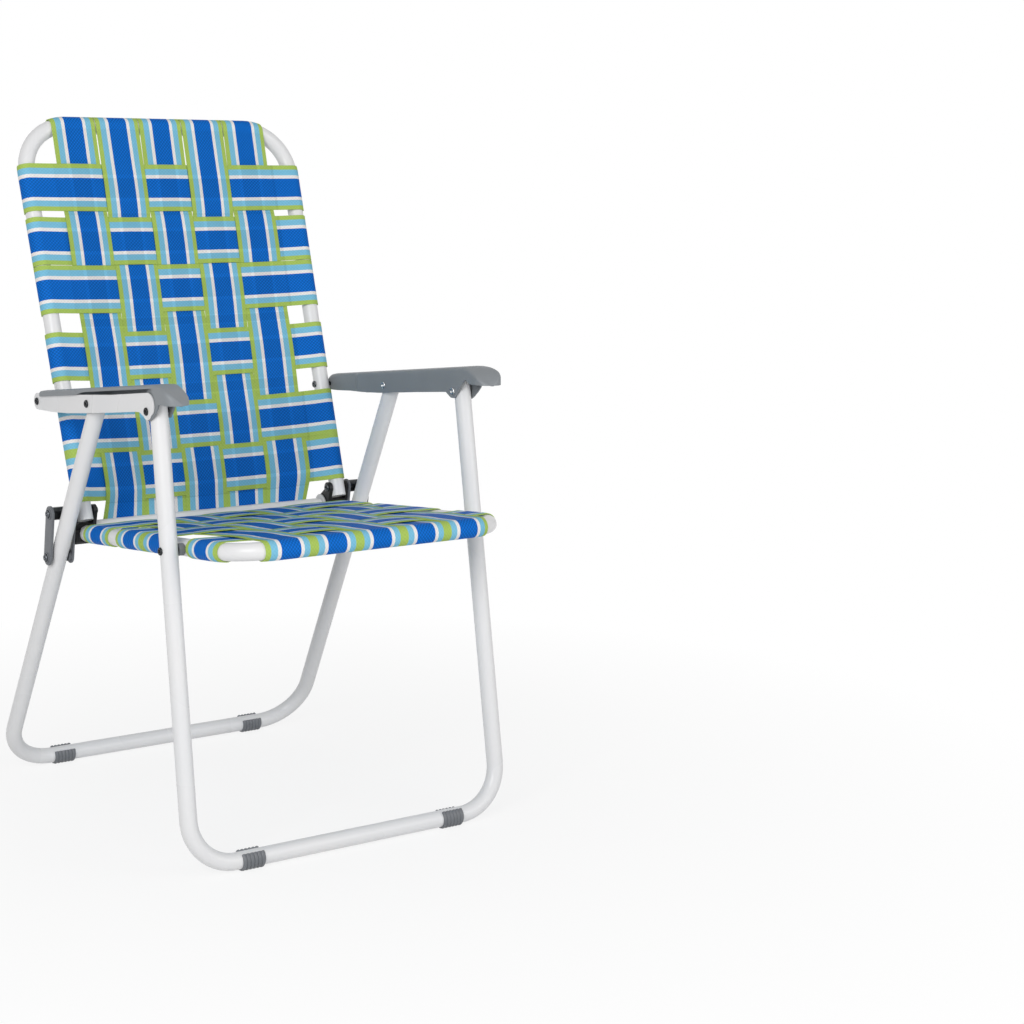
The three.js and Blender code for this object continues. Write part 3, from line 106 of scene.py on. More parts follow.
def bent_tube(name, corners, bend_radius, diameter, wall):
    """A tube through the corners, drawn out from a circle and swung round each bend."""
    heading = (corners[1] - corners[0]).normalized()
    bpy.ops.object.select_all(action="DESELECT")
    bpy.ops.mesh.primitive_circle_add(
        vertices=40,
        radius=diameter / 2000,
        location=corners[0],
        rotation=heading.to_track_quat("Z", "X").to_euler(),
    )
    tube = bpy.context.object
    tube.name = name
    bpy.ops.object.transform_apply(location=True, rotation=True, scale=True)
    bpy.ops.object.mode_set(mode="EDIT")
    bpy.ops.mesh.select_all(action="SELECT")
    reached = corners[0]
    for before, corner, after in zip(corners, corners[1:], corners[2:]):
        incoming = (corner - before).normalized()
        outgoing = (after - corner).normalized()
        turn = incoming.angle(outgoing)
        tangent = bend_radius / 1000 * math.tan(turn / 2)
        start = corner - incoming * tangent
        bpy.ops.mesh.extrude_region_move(TRANSFORM_OT_translate={"value": start - reached})
        axis = incoming.cross(outgoing).normalized()
        centre = start + axis.cross(incoming) * bend_radius / 1000
        bpy.ops.mesh.spin(steps=20, angle=-turn, center=centre, axis=axis)
        reached = corner + outgoing * tangent
    bpy.ops.mesh.extrude_region_move(TRANSFORM_OT_translate={"value": corners[-1] - reached})
    weld()
    thicken(tube, wall, -1)
    bpy.ops.object.shade_smooth_by_angle(angle=math.radians(40))
    return tube


def u_corners(open_end, closed_end, open_half_width, closed_half_width):
    """The four corners of a U frame, each end given as depth and height."""
    return [
        spot(-open_half_width, *open_end),
        spot(-closed_half_width, *closed_end),
        spot(closed_half_width, *closed_end),
        spot(open_half_width, *open_end),
    ]


def fit(piece, body, slot, material, *nodes):
    """Gives a finished piece its material and sets it on its body, in place of its CAD nodes."""
    piece.data.materials.clear()
    piece.data.materials.append(material)
    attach(piece, body)
    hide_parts(*nodes)


# Powder paint on steel: a clean white skin with a soft gloss. The powder melts into a faint
# orange peel of about 2 mm, and the white is a little warmer and cooler over a hand's width.
white_paint = new_material("white powder paint on steel")
paint_place = add_node(white_paint, "ShaderNodeTexCoord", {}, {})
paint_drift = add_node(
    white_paint, "ShaderNodeTexNoise", {"Scale": 9, "Detail": 1}, {"Vector": paint_place.outputs["Object"]}
)
paint_peel = add_node(
    white_paint, "ShaderNodeTexNoise", {"Scale": 450, "Detail": 1}, {"Vector": paint_place.outputs["Object"]}
)
paint_colour = add_node(
    white_paint,
    "ShaderNodeMix",
    {"data_type": "RGBA", 6: linear("e7e6e6"), 7: linear("e2e3e5")},
    {0: paint_drift.outputs["Fac"]},
)
paint_gloss = add_node(
    white_paint,
    "ShaderNodeMapRange",
    {"From Min": 0.2, "From Max": 0.8, "To Min": 0.24, "To Max": 0.3},
    {"Value": paint_drift.outputs["Fac"]},
)
paint_bump = add_node(
    white_paint,
    "ShaderNodeBump",
    {"Strength": 0.01, "Distance": 0.0004},
    {"Height": paint_peel.outputs["Fac"]},
)
paint_shader = add_node(
    white_paint,
    "ShaderNodeBsdfPrincipled",
    {"IOR": 1.5, "Specular IOR Level": 0.3},
    {
        "Base Color": paint_colour.outputs[2],
        "Roughness": paint_gloss.outputs["Result"],
        "Normal": paint_bump.outputs["Normal"],
    },
)
add_node(white_paint, "ShaderNodeOutputMaterial", {}, {"Surface": paint_shader.outputs["BSDF"]})

front_leg_frame = bent_tube(
    "front_leg_tube",
    u_corners(FRONT_LEG_TOP, FRONT_BAR, FRONT_TOP_HALF_WIDTH, FRONT_BAR_HALF_WIDTH),
    FRONT_BEND,
    TUBE,
    TUBE_WALL,
)
fit(front_leg_frame, "front_legs", "white_paint", white_paint, "front_leg_frame")

# Rear leg frame: a second U of the same painted tube, leaning forward as it rises.
# Its ends are riveted inside the armrests, some way behind the front legs.
REAR_BAR = (555.21, 12.6)
REAR_LEG_TOP = (252.28, 560.45)
REAR_TOP_HALF_WIDTH = 221.18
REAR_BAR_HALF_WIDTH = 238.72
REAR_BEND = 66
rear_leg_frame = bent_tube(
    "rear_leg_tube",
    u_corners(REAR_LEG_TOP, REAR_BAR, REAR_TOP_HALF_WIDTH, REAR_BAR_HALF_WIDTH),
    REAR_BEND,
    TUBE,
    TUBE_WALL,
)
fit(rear_leg_frame, "rear_legs", "white_paint", white_paint, "rear_leg_frame")

# Foot clips: four moulded sleeves of dark grey nylon, open on top, pressed over the floor bars.
# Six ribs run round each one, and the sole is worn flat where it meets the floor.
# They are pushed on by hand, so they do not all sit at the same turn.
CLIP_LENGTH = 31
CLIP_OUTSIDE = 13.6
CLIP_INSIDE = 11.3
CLIP_RIB = [1.3, 0.7, 0.15, 0, 0, 0, 0.15, 0.7]
CLIP_RIBS = 6
FRONT_CLIP_ASIDE = 148.22
REAR_CLIP_ASIDE = 152.51
REAR_CLIP_EDGES = (33, 60)


def moulded_plastic(name, cloud, grain, colours, grain_strength, surface):
    """A moulded plastic: two colours that drift into each other, under a fine grain.

    Cloud and grain are noises, each given as its scale and detail. The grain and the shader come with it.
    """
    material = new_material(name)
    place = add_node(material, "ShaderNodeTexCoord", {}, {})
    noises = []
    for scale, detail in (cloud, grain):
        noise = add_node(
            material,
            "ShaderNodeTexNoise",
            {"Scale": scale, "Detail": detail},
            {"Vector": place.outputs["Object"]},
        )
        noises.append(noise)
    colour = add_node(
        material,
        "ShaderNodeMix",
        {"data_type": "RGBA", 6: linear(colours[0]), 7: linear(colours[1])},
        {0: noises[0].outputs["Fac"]},
    )
    bump = add_node(
        material,
        "ShaderNodeBump",
        {"Strength": grain_strength, "Distance": 0.0003},
        {"Height": noises[1].outputs["Fac"]},
    )
    shader = add_node(
        material,
        "ShaderNodeBsdfPrincipled",
        surface,
        {"Base Color": colour.outputs[2], "Normal": bump.outputs["Normal"]},
    )
    add_node(material, "ShaderNodeOutputMaterial", {}, {"Surface": shader.outputs["BSDF"]})
    return material, noises[1], shader


# Moulded nylon: dark grey and satin, with a fine eroded grain from the tool. The grain is really
# about 0.3 mm and is drawn at 1.2 mm to show. Larger clouds come from uneven cooling.
dark_nylon, _, _ = moulded_plastic(
    "moulded dark grey nylon",
    (60, 3),
    (800, 2),
    ("63666b", "707378"),
    0.2,
    {"Roughness": 0.48, "IOR": 1.53},
)


def foot_clip(name, across, bar, front_edge, rear_edge):
    """A ribbed sleeve: its section is a loop beside the bar, swung under the bar from edge to edge.

    The two edges are given in degrees above the bar's middle, in front of it and behind it.
    """
    steps = len(CLIP_RIB) * CLIP_RIBS
    outline = []
    for i in range(steps + 1):
        groove = CLIP_RIB[i % len(CLIP_RIB)]
        outline.append((CLIP_LENGTH * (i / steps - 0.5), CLIP_OUTSIDE - groove))
    outline += [(CLIP_LENGTH / 2, CLIP_INSIDE), (-CLIP_LENGTH / 2, CLIP_INSIDE)]
    bpy.ops.object.select_all(action="DESELECT")
    bpy.ops.mesh.primitive_circle_add(vertices=len(outline))
    clip = bpy.context.object
    clip.name = name
    first = math.radians(180 - front_edge)
    for vertex, (along, radius) in zip(clip.data.vertices, outline):
        depth = bar[0] + radius * math.cos(first)
        vertex.co = spot(across + along, depth, bar[1] + radius * math.sin(first))
    bpy.ops.object.mode_set(mode="EDIT")
    bpy.ops.mesh.select_all(action="SELECT")
    bpy.ops.mesh.edge_face_add()
    swing = math.radians(180 + front_edge + rear_edge)
    bpy.ops.mesh.spin(steps=40, angle=-swing, center=spot(across, *bar), axis=(1, 0, 0))
    weld()
    for vertex in clip.data.vertices:
        vertex.co.z = max(vertex.co.z, 0)
    bpy.ops.object.shade_smooth_by_angle(angle=math.radians(30))
    return clip


for side, label, front_edges in ((-1, "right", (50, 56)), (1, "left", (58, 42))):
    front_clip = foot_clip(f"foot_clip_front_{label}", side * FRONT_CLIP_ASIDE, FRONT_BAR, *front_edges)
    fit(front_clip, "front_legs", "grey_plastic", dark_nylon, f"foot_front_{label}")
    rear_clip = foot_clip(f"foot_clip_rear_{label}", side * REAR_CLIP_ASIDE, REAR_BAR, *REAR_CLIP_EDGES)
    fit(rear_clip, "rear_legs", "grey_plastic", dark_nylon, f"foot_rear_{label}")

# Seat frame: a U of painted tube, open at the rear and falling slightly towards it.
# Its sides are riveted to the front legs and its ends sit in the hinge brackets.
SEAT_PIVOT = (58.01, 398)
SEAT_FALL = math.radians(5.375)
SEAT_FRONT = 116.8
SEAT_HALF_WIDTH = 193
SEAT_BEND = 57
HINGE_ALONG_SEAT = 304.3
SEAT_END = HINGE_ALONG_SEAT + 26


def on_seat(rearward, up):
    """Depth and height of a place on the seat, back from the leg pivot and up from the tube's axis."""
    depth = SEAT_PIVOT[0] + rearward * math.cos(SEAT_FALL) + up * math.sin(SEAT_FALL)
    height = SEAT_PIVOT[1] - rearward * math.sin(SEAT_FALL) + up * math.cos(SEAT_FALL)
    return depth, height


seat_frame = bent_tube(
    "seat_tube",
    u_corners(on_seat(SEAT_END, 0), on_seat(-SEAT_FRONT, 0), SEAT_HALF_WIDTH, SEAT_HALF_WIDTH),
    SEAT_BEND,
    TUBE,
    TUBE_WALL,
)
fit(seat_frame, "seat", "white_paint", white_paint, "seat_frame")

# Crossbar: a thinner painted tube between the hinge brackets, which keeps the seat's rear ends apart.
# A pale nylon bush plugs each of its ends. Its wide flange stands against the bracket,
# and a spigot on it sits in the bracket.
CROSSBAR_BEHIND_HINGE = 18.1
CROSSBAR_RISE = 7.5
CROSSBAR = on_seat(HINGE_ALONG_SEAT + CROSSBAR_BEHIND_HINGE, CROSSBAR_RISE)
CROSSBAR_RADIUS = 8
CROSSBAR_WALL = 1
CROSSBAR_HALF_LENGTH = 176.1
BRACKET_INSIDE = 179.7
SEATING_GAP = 0.3
BUSH_FLANGE = 13.5
BUSH_PLUG = 6.7
BUSH_SPIGOT = 3
SIDES = ((-1, "right"), (1, "left"))


def turned(name, side, centre, profile):
    """A turned piece on a crosswise axis, from pairs of distance out from the chair's middle and radius."""
    axis_point = spot(0, *centre)
    places = [axis_point + Vector((side * out, 0, radius)) / 1000 for out, radius in profile]
    bpy.ops.object.select_all(action="DESELECT")
    bpy.ops.mesh.primitive_plane_add(size=0.001, location=places[0])
    piece = bpy.context.object
    piece.name = name
    bpy.ops.object.transform_apply(location=True, rotation=True, scale=True)
    bpy.ops.object.mode_set(mode="EDIT")
    bpy.ops.mesh.select_all(action="SELECT")
    bpy.ops.mesh.merge(type="CENTER")
    for before, after in zip(places, places[1:]):
        bpy.ops.mesh.extrude_vertices_move(TRANSFORM_OT_translate={"value": after - before})
    bpy.ops.mesh.select_all(action="SELECT")
    bpy.ops.mesh.spin(steps=32, angle=2 * math.pi, center=axis_point, axis=(1, 0, 0))
    weld()
    bpy.ops.object.shade_smooth_by_angle(angle=math.radians(35))
    return piece


# Natural nylon: pale grey, slightly waxy, with cloudy patches where the moulding took up moisture.
pale_nylon, _, _ = moulded_plastic(
    "moulded pale nylon",
    (160, 3),
    (160, 3),
    ("c3c5c7", "d0d1d2"),
    0.15,
    {"Roughness": 0.4, "IOR": 1.53},
)

crossbar = bent_tube(
    "crossbar_tube",
    [spot(-CROSSBAR_HALF_LENGTH, *CROSSBAR), spot(CROSSBAR_HALF_LENGTH, *CROSSBAR)],
    0,
    2 * CROSSBAR_RADIUS,
    CROSSBAR_WALL,
)
fit(crossbar, "seat", "white_paint", white_paint, "crossbar")
bush_profile = [
    (CROSSBAR_HALF_LENGTH - 12, 0),
    (CROSSBAR_HALF_LENGTH - 12, BUSH_PLUG - 0.7),
    (CROSSBAR_HALF_LENGTH - 11.3, BUSH_PLUG),
    (CROSSBAR_HALF_LENGTH + SEATING_GAP, BUSH_PLUG),
    (CROSSBAR_HALF_LENGTH + SEATING_GAP, BUSH_FLANGE - 0.8),
    (CROSSBAR_HALF_LENGTH + 1.1, BUSH_FLANGE),
    (BRACKET_INSIDE - 0.8, BUSH_FLANGE),
    (BRACKET_INSIDE - SEATING_GAP, BUSH_FLANGE - 0.5),
    (BRACKET_INSIDE - SEATING_GAP, BUSH_SPIGOT),
    (BRACKET_INSIDE + 2.2, BUSH_SPIGOT),
    (BRACKET_INSIDE + 2.2, 0),
]
for side, label in SIDES:
    bush = turned(f"crossbar_end_bush_{label}", side, CROSSBAR, bush_profile)
    fit(bush, "seat", "pale_plastic", pale_nylon, f"crossbar_bush_{label}")

# Back frame: an inverted U of painted tube that widens towards the top.
# Its flat-cut lower ends stand in the hinge brackets, each on one pin.
HINGE_RISE = 30.65
HINGE = on_seat(HINGE_ALONG_SEAT, HINGE_RISE)
BACK_RECLINE = math.radians(17.95)
BACK_LENGTH = 532
BACK_BELOW_HINGE = 13
BACK_HALF_WIDTH = 196
BACK_SPLAY = 0.015
BACK_BEND = 67


def on_back(up, forward):
    """Depth and height of a place on the back, up from the hinge and forward from the tube's axis."""
    depth = HINGE[0] + up * math.sin(BACK_RECLINE) - forward * math.cos(BACK_RECLINE)
    height = HINGE[1] + up * math.cos(BACK_RECLINE) + forward * math.sin(BACK_RECLINE)
    return depth, height


def back_half_width(up):
    """Half the width between the back tube's two axes at a place up the back."""
    return BACK_HALF_WIDTH + BACK_SPLAY * up


back_frame = bent_tube(
    "back_tube",
    u_corners(
        on_back(-BACK_BELOW_HINGE, 0),
        on_back(BACK_LENGTH, 0),
        back_half_width(-BACK_BELOW_HINGE),
        back_half_width(BACK_LENGTH),
    ),
    BACK_BEND,
    TUBE,
    TUBE_WALL,
)
fit(back_frame, "back", "white_paint", white_paint, "back_frame")

# Hinge brackets: a near-black nylon block pressed over each rear end of the seat tube.
# A deep slot takes the foot of the back tube, and a steel pin goes through both cheeks.
BRACKET_OUTSIDE = 210.3
BRACKET_REAR = 29.9
BRACKET_FRONT = -2.1
BRACKET_BOTTOM = -13.3
HINGE_LUG = 8
SLOT = (184.7, 207.3)
SLOT_RADIUS = 17.63
BORE_RADIUS = 11.3
BORE_END = 26.3


def arc(centre, radius, first, last, steps):
    """Places on an arc in side view, from one angle to another in degrees."""
    angles = [math.radians(first + (last - first) * i / steps) for i in range(steps + 1)]
    return [(centre[0] + radius * math.cos(a), centre[1] + radius * math.sin(a)) for a in angles]


def flat_piece(name, side, start, end, outline):
    """A flat piece from its side outline, drawn out between two distances from the chair's middle."""
    bpy.ops.object.select_all(action="DESELECT")
    bpy.ops.mesh.primitive_circle_add(vertices=len(outline), fill_type="NGON")
    piece = bpy.context.object
    piece.name = name
    for vertex, (depth, height) in zip(piece.data.vertices, outline):
        vertex.co = spot(side * start, depth, height)
    bpy.ops.object.mode_set(mode="EDIT")
    bpy.ops.mesh.select_all(action="SELECT")
    bpy.ops.mesh.extrude_region_move(TRANSFORM_OT_translate={"value": (side * (end - start) / 1000, 0, 0)})
    weld()
    return piece


def combine(piece, operation, *others):
    """Cuts the other pieces out of this one, or joins them to it, and removes them."""
    for other in others:
        modifier = piece.modifiers.new("Combine", "BOOLEAN")
        modifier.operation = operation
        modifier.solver = "EXACT"
        modifier.object = other
        bpy.ops.object.select_all(action="DESELECT")
        bpy.context.view_layer.objects.active = piece
        piece.select_set(True)
        bpy.ops.object.modifier_apply(modifier=modifier.name)
        bpy.data.objects.remove(other)


def soften(piece, width, segments):
    """Rounds the piece's sharp edges, as a mould or a press leaves them."""
    bpy.ops.object.select_all(action="DESELECT")
    bpy.context.view_layer.objects.active = piece
    piece.select_set(True)
    edge = piece.modifiers.new("Soft edges", "BEVEL")
    edge.width = width / 1000
    edge.segments = segments
    edge.limit_method = "ANGLE"
    edge.angle_limit = math.radians(38)
    bpy.ops.object.modifier_apply(modifier=edge.name)
    bpy.ops.object.shade_smooth_by_angle(angle=math.radians(38))
    even = piece.modifiers.new("Even faces", "WEIGHTED_NORMAL")
    even.keep_sharp = True
    bpy.ops.object.modifier_apply(modifier=even.name)
    return piece


# Glass-filled nylon: near black and satin, with a coarse sparkle of fibres about 1 mm long.
black_nylon, _, _ = moulded_plastic(
    "moulded black nylon",
    (900, 2),
    (900, 2),
    ("131416", "202123"),
    0.25,
    {"Roughness": 0.42, "IOR": 1.53, "Specular IOR Level": 0.25},
)


def hinge_place(rearward, up):
    """A place on the seat, measured back from the hinge."""
    return on_seat(HINGE_ALONG_SEAT + rearward, up)


bracket_outline = [
    hinge_place(BRACKET_FRONT + 3, BRACKET_BOTTOM),
    hinge_place(BRACKET_REAR - 3, BRACKET_BOTTOM),
    hinge_place(BRACKET_REAR, BRACKET_BOTTOM + 3),
    hinge_place(BRACKET_REAR, 11.8),
    hinge_place(BRACKET_REAR - 0.6, 14.4),
    hinge_place(BRACKET_REAR - 2, 16.1),
    *arc(HINGE, HINGE_LUG, -20, 200, 24),
    hinge_place(BRACKET_FRONT + 2, 7.5),
    hinge_place(BRACKET_FRONT, 5.7),
    hinge_place(BRACKET_FRONT, BRACKET_BOTTOM + 3),
]
slot_outline = [
    *arc(HINGE, SLOT_RADIUS, 180, 360, 28),
    hinge_place(36, 60),
    hinge_place(-36, 60),
]
for side, label in SIDES:
    bracket = flat_piece(f"hinge_block_{label}", side, BRACKET_INSIDE, BRACKET_OUTSIDE, bracket_outline)
    slot_cut = flat_piece("slot_cut", side, *SLOT, slot_outline)
    bore_start = spot(side * SEAT_HALF_WIDTH, *hinge_place(BRACKET_FRONT - 4, 0))
    bore_end = spot(side * SEAT_HALF_WIDTH, *hinge_place(BORE_END, 0))
    bpy.ops.object.select_all(action="DESELECT")
    bpy.ops.mesh.primitive_cylinder_add(
        vertices=40,
        radius=BORE_RADIUS / 1000,
        depth=(bore_end - bore_start).length,
        location=(bore_start + bore_end) / 2,
        rotation=(bore_end - bore_start).to_track_quat("Z", "X").to_euler(),
    )
    bore_cut = bpy.context.object
    combine(bracket, "DIFFERENCE", slot_cut, bore_cut)
    soften(bracket, 0.7, 2)
    fit(bracket, "seat", "dark_plastic", black_nylon, f"hinge_bracket_{label}")

# Hinge pins: plated steel rivets, one through each bracket and the foot of the back tube in it.
# They are driven in from the inner side, where their rolled heads stay.
RIVET = 3
HINGE_HEAD = 5.5
HINGE_CROWN = 2.5


def rolled_head(crown, seat, radius):
    """Profile of a tubular rivet's rolled head, from the bottom of its hollow to its seat."""
    points = [(seat, 0), (seat, 0.36 * radius)]
    for i in range(11):
        angle = math.pi * i / 10
        rise = 0.2 + 0.8 * math.sin(angle)
        points.append((seat + (crown - seat) * rise, radius * (0.68 - 0.32 * math.cos(angle))))
    return points + [(seat, radius)]


def rivet(name, side, centre, crown, seat, head_radius, end):
    """A rivet with one rolled head, and a shank from the head's seat to a plain end."""
    shank = [(seat, RIVET), (end, RIVET), (end, 0)]
    return turned(name, side, centre, rolled_head(crown, seat, head_radius) + shank)


def set_bands(ramp, first_code, starts):
    """Fills a colour ramp with plain bands: the first colour, and then one from each start on."""
    ramp.interpolation = "CONSTANT"
    ramp.elements[0].color = linear(first_code)
    ramp.elements.remove(ramp.elements[1])
    for start, code in starts:
        band = ramp.elements.new(start)
        band.color = linear(code)


# Zinc-plated steel, its colour set by distance from the chair's middle: bright at the arms' inner rivet
# heads, partly bare zinc and partly a painted highlight for their glints, dipped black on the outer side,
# and dull grey at the links and hinges. It has fine tumbling scratches about 0.5 mm apart, and it is lighter
# in patches where it has worn.
zinc_steel = new_material("dipped zinc-plated steel")
zinc_place = add_node(zinc_steel, "ShaderNodeTexCoord", {}, {})
zinc_patch = add_node(
    zinc_steel, "ShaderNodeTexNoise", {"Scale": 260, "Detail": 4}, {"Vector": zinc_place.outputs["Object"]}
)
zinc_scratch = add_node(
    zinc_steel, "ShaderNodeTexNoise", {"Scale": 2000, "Detail": 1}, {"Vector": zinc_place.outputs["Object"]}
)
zinc_axes = add_node(zinc_steel, "ShaderNodeSeparateXYZ", {}, {"Vector": zinc_place.outputs["Object"]})
zinc_aside = add_node(zinc_steel, "ShaderNodeMath", {"operation": "ABSOLUTE"}, {0: zinc_axes.outputs["X"]})
zinc_finish_and_glint = add_node(zinc_steel, "ShaderNodeValToRGB", {}, {"Fac": zinc_aside.outputs["Value"]})
# Colour bands by distance from the middle. The bright band at the arms' inner rivet heads is partly a
# painted highlight for their glints.
zinc_dip_and_glint_bands = [(0.195, "c2c4c6"), (0.2068, "343638"), (0.2455, "5c5f63")]
set_bands(zinc_finish_and_glint.color_ramp, "5a5d60", zinc_dip_and_glint_bands)
zinc_tone = add_node(
    zinc_steel,
    "ShaderNodeMapRange",
    {"From Min": 0.3, "From Max": 0.7, "To Min": 0.6, "To Max": 1.3},
    {"Value": zinc_patch.outputs["Fac"]},
)
zinc_colour = add_node(
    zinc_steel,
    "ShaderNodeMix",
    {"data_type": "RGBA", "blend_type": "MULTIPLY", 0: 1},
    {6: zinc_finish_and_glint.outputs["Color"], 7: zinc_tone.outputs["Result"]},
)
zinc_gloss = add_node(
    zinc_steel,
    "ShaderNodeMapRange",
    {"From Min": 0.3, "From Max": 0.7, "To Min": 0.14, "To Max": 0.28},
    {"Value": zinc_patch.outputs["Fac"]},
)
zinc_bump = add_node(
    zinc_steel,
    "ShaderNodeBump",
    {"Strength": 0.15, "Distance": 0.0002},
    {"Height": zinc_scratch.outputs["Fac"]},
)
zinc_shader = add_node(
    zinc_steel,
    "ShaderNodeBsdfPrincipled",
    {"Metallic": 1},
    {
        "Base Color": zinc_colour.outputs[2],
        "Roughness": zinc_gloss.outputs["Result"],
        "Normal": zinc_bump.outputs["Normal"],
    },
)
add_node(zinc_steel, "ShaderNodeOutputMaterial", {}, {"Surface": zinc_shader.outputs["BSDF"]})

for side, label in SIDES:
    hinge_pin = rivet(
        f"hinge_rivet_{label}",
        side,
        HINGE,
        BRACKET_INSIDE - HINGE_CROWN,
        BRACKET_INSIDE - SEATING_GAP,
        HINGE_HEAD,
        BRACKET_OUTSIDE,
    )
    fit(hinge_pin, "seat", "zinc_steel", zinc_steel, f"hinge_pin_{label}")

# Links: two dark grey moulded plates on each rear leg, one on either side of the tube.
# They swing on a riveted pin through the leg and hold the seat's hinge at their upper ends.
LINK_PIVOT = (374.18, 339.99)
LINK_ROUND = 10.5
LINK_BOSS = 7.5
INNER_LINK = (210.9, 213.4)
OUTER_LINK = (241.44, 245.44)
INNER_BOSS = (213, 216.7)
UPPER_BOSS_START = 245
LOWER_BOSS_START = 239.8
LINK_RING = [
    (246.4, LINK_BOSS),
    (246.84, LINK_BOSS - 0.5),
    (246.84, LINK_BOSS - 1.4),
    (245.8, LINK_BOSS - 1.9),
    (245.8, 0),
]
LINK_HEAD = 5
LINK_HEAD_SEAT = 246.1
LINK_HEAD_CROWN = 249.14
LINK_SLEEVE = 8.7

link_heading = math.degrees(math.atan2(LINK_PIVOT[1] - HINGE[1], LINK_PIVOT[0] - HINGE[0]))
link_outline = [
    *arc(LINK_PIVOT, LINK_ROUND, link_heading - 90, link_heading + 90, 20),
    *arc(HINGE, LINK_ROUND, link_heading + 90, link_heading + 270, 20),
]
for side, label in SIDES:
    inner_link = soften(flat_piece(f"link_plate_inner_{label}", side, *INNER_LINK, link_outline), 0.5, 2)
    inner_boss = turned(
        "inner_boss",
        side,
        LINK_PIVOT,
        [(INNER_BOSS[0], 0), (INNER_BOSS[0], LINK_BOSS), (INNER_BOSS[1], LINK_BOSS), (INNER_BOSS[1], 0)],
    )
    combine(inner_link, "UNION", inner_boss)
    bpy.ops.object.shade_smooth_by_angle(angle=math.radians(38))
    fit(inner_link, "links", "dark_plastic", dark_nylon, f"link_inner_{label}")
    outer_link = soften(flat_piece(f"link_plate_outer_{label}", side, *OUTER_LINK, link_outline), 0.9, 3)
    upper_boss = turned(
        "upper_boss",
        side,
        HINGE,
        [(UPPER_BOSS_START, 0), (UPPER_BOSS_START, LINK_BOSS), *LINK_RING],
    )
    lower_boss = turned(
        "lower_boss",
        side,
        LINK_PIVOT,
        [(LOWER_BOSS_START, 0), (LOWER_BOSS_START, LINK_BOSS), *LINK_RING],
    )
    combine(outer_link, "UNION", upper_boss, lower_boss)
    bpy.ops.object.shade_smooth_by_angle(angle=math.radians(38))
    fit(outer_link, "links", "dark_plastic", dark_nylon, f"link_outer_{label}")
    upper_pin = turned(
        f"link_rivet_upper_{label}",
        side,
        HINGE,
        [
            *rolled_head(LINK_HEAD_CROWN, LINK_HEAD_SEAT, LINK_HEAD),
            (LINK_HEAD_SEAT, RIVET),
            (OUTER_LINK[0] - SEATING_GAP, RIVET),
            (OUTER_LINK[0] - SEATING_GAP, LINK_SLEEVE),
            (INNER_LINK[1] + SEATING_GAP, LINK_SLEEVE),
            (INNER_LINK[1] + SEATING_GAP, RIVET),
            (INNER_LINK[0], RIVET),
            (INNER_LINK[0], 0),
        ],
    )
    fit(upper_pin, "links", "zinc_steel", zinc_steel, f"link_pin_upper_{label}")
    lower_pin = rivet(
        f"link_rivet_lower_{label}",
        side,
        LINK_PIVOT,
        LINK_HEAD_CROWN,
        LINK_HEAD_SEAT,
        LINK_HEAD,
        INNER_LINK[0],
    )
    fit(lower_pin, "links", "zinc_steel", zinc_steel, f"link_pin_lower_{label}")

# Seat pivots: a dark nylon washer keeps each seat tube off the front leg.
# One long rivet goes through leg, washer and seat tube, with a rolled head at both ends.
RIVET_HEAD = 5
RIVET_CROWN = 2
WASHER = 7.6
WASHER_EDGE = 0.6
WASHER_BORE = 3.3
WASHER_ENDS = (204.3, 212)
SEAT_RIVET_SEATS = (181.7, 234.75)


def two_headed_rivet(name, side, centre, inner_seat, outer_seat):
    """A rivet with a rolled head at both ends."""
    inner_head = rolled_head(inner_seat - RIVET_CROWN, inner_seat, RIVET_HEAD)
    outer_head = rolled_head(outer_seat + RIVET_CROWN, outer_seat, RIVET_HEAD)
    shank = [(outer_seat, RIVET), (inner_seat, RIVET)]
    return turned(name, side, centre, outer_head + shank + inner_head[::-1])


for side, label in SIDES:
    washer = turned(
        f"seat_pivot_washer_{label}",
        side,
        SEAT_PIVOT,
        [
            (WASHER_ENDS[0], WASHER_BORE),
            (WASHER_ENDS[0], WASHER - WASHER_EDGE),
            (WASHER_ENDS[0] + WASHER_EDGE, WASHER),
            (WASHER_ENDS[1] - WASHER_EDGE, WASHER),
            (WASHER_ENDS[1], WASHER - WASHER_EDGE),
            (WASHER_ENDS[1], WASHER_BORE),
            (WASHER_ENDS[0], WASHER_BORE),
        ],
    )
    fit(washer, "front_legs", "dark_plastic", dark_nylon, f"seat_spacer_{label}")
    seat_rivet = two_headed_rivet(f"seat_pivot_rivet_{label}", side, SEAT_PIVOT, *SEAT_RIVET_SEATS)
    fit(seat_rivet, "front_legs", "zinc_steel", zinc_steel, f"seat_rivet_{label}")

# Armrests: long grey polypropylene mouldings, hollow underneath, that end in a wide rounded bill.
# The inner wall steps outwards at the rear to pass the back tube, and has a lobe for the front rivet.
# The outer wall stands behind the steel plate and shows in front of it as a grey rim.
ARM_FRONT_PIVOT = (83.15, 565)
ARM_MIDDLE_PIVOT = (254.21, 556.95)
ARM_REAR_PIVOT = (410.69, 544.61)
ARM_WALL = 2.8
ARM_TOP_HEIGHT = 596.4
ARM_FALL = 0.1175
ARM_END_ROUND = 16
BILL_CREST = 60.15
BILL_TIP = 14.9
BILL_LIP = 577.6
BILL_DROP = 21.5
BILL_INNER_CORNER = 20
BILL_OUTER_CORNER = 14.5
ARM_REAR_END = 421.7
ARM_RIM = (233.2, 235.2)
ARM_BOSS = (213.8, 235.2)
ARM_BOSS_RADIUS = 7

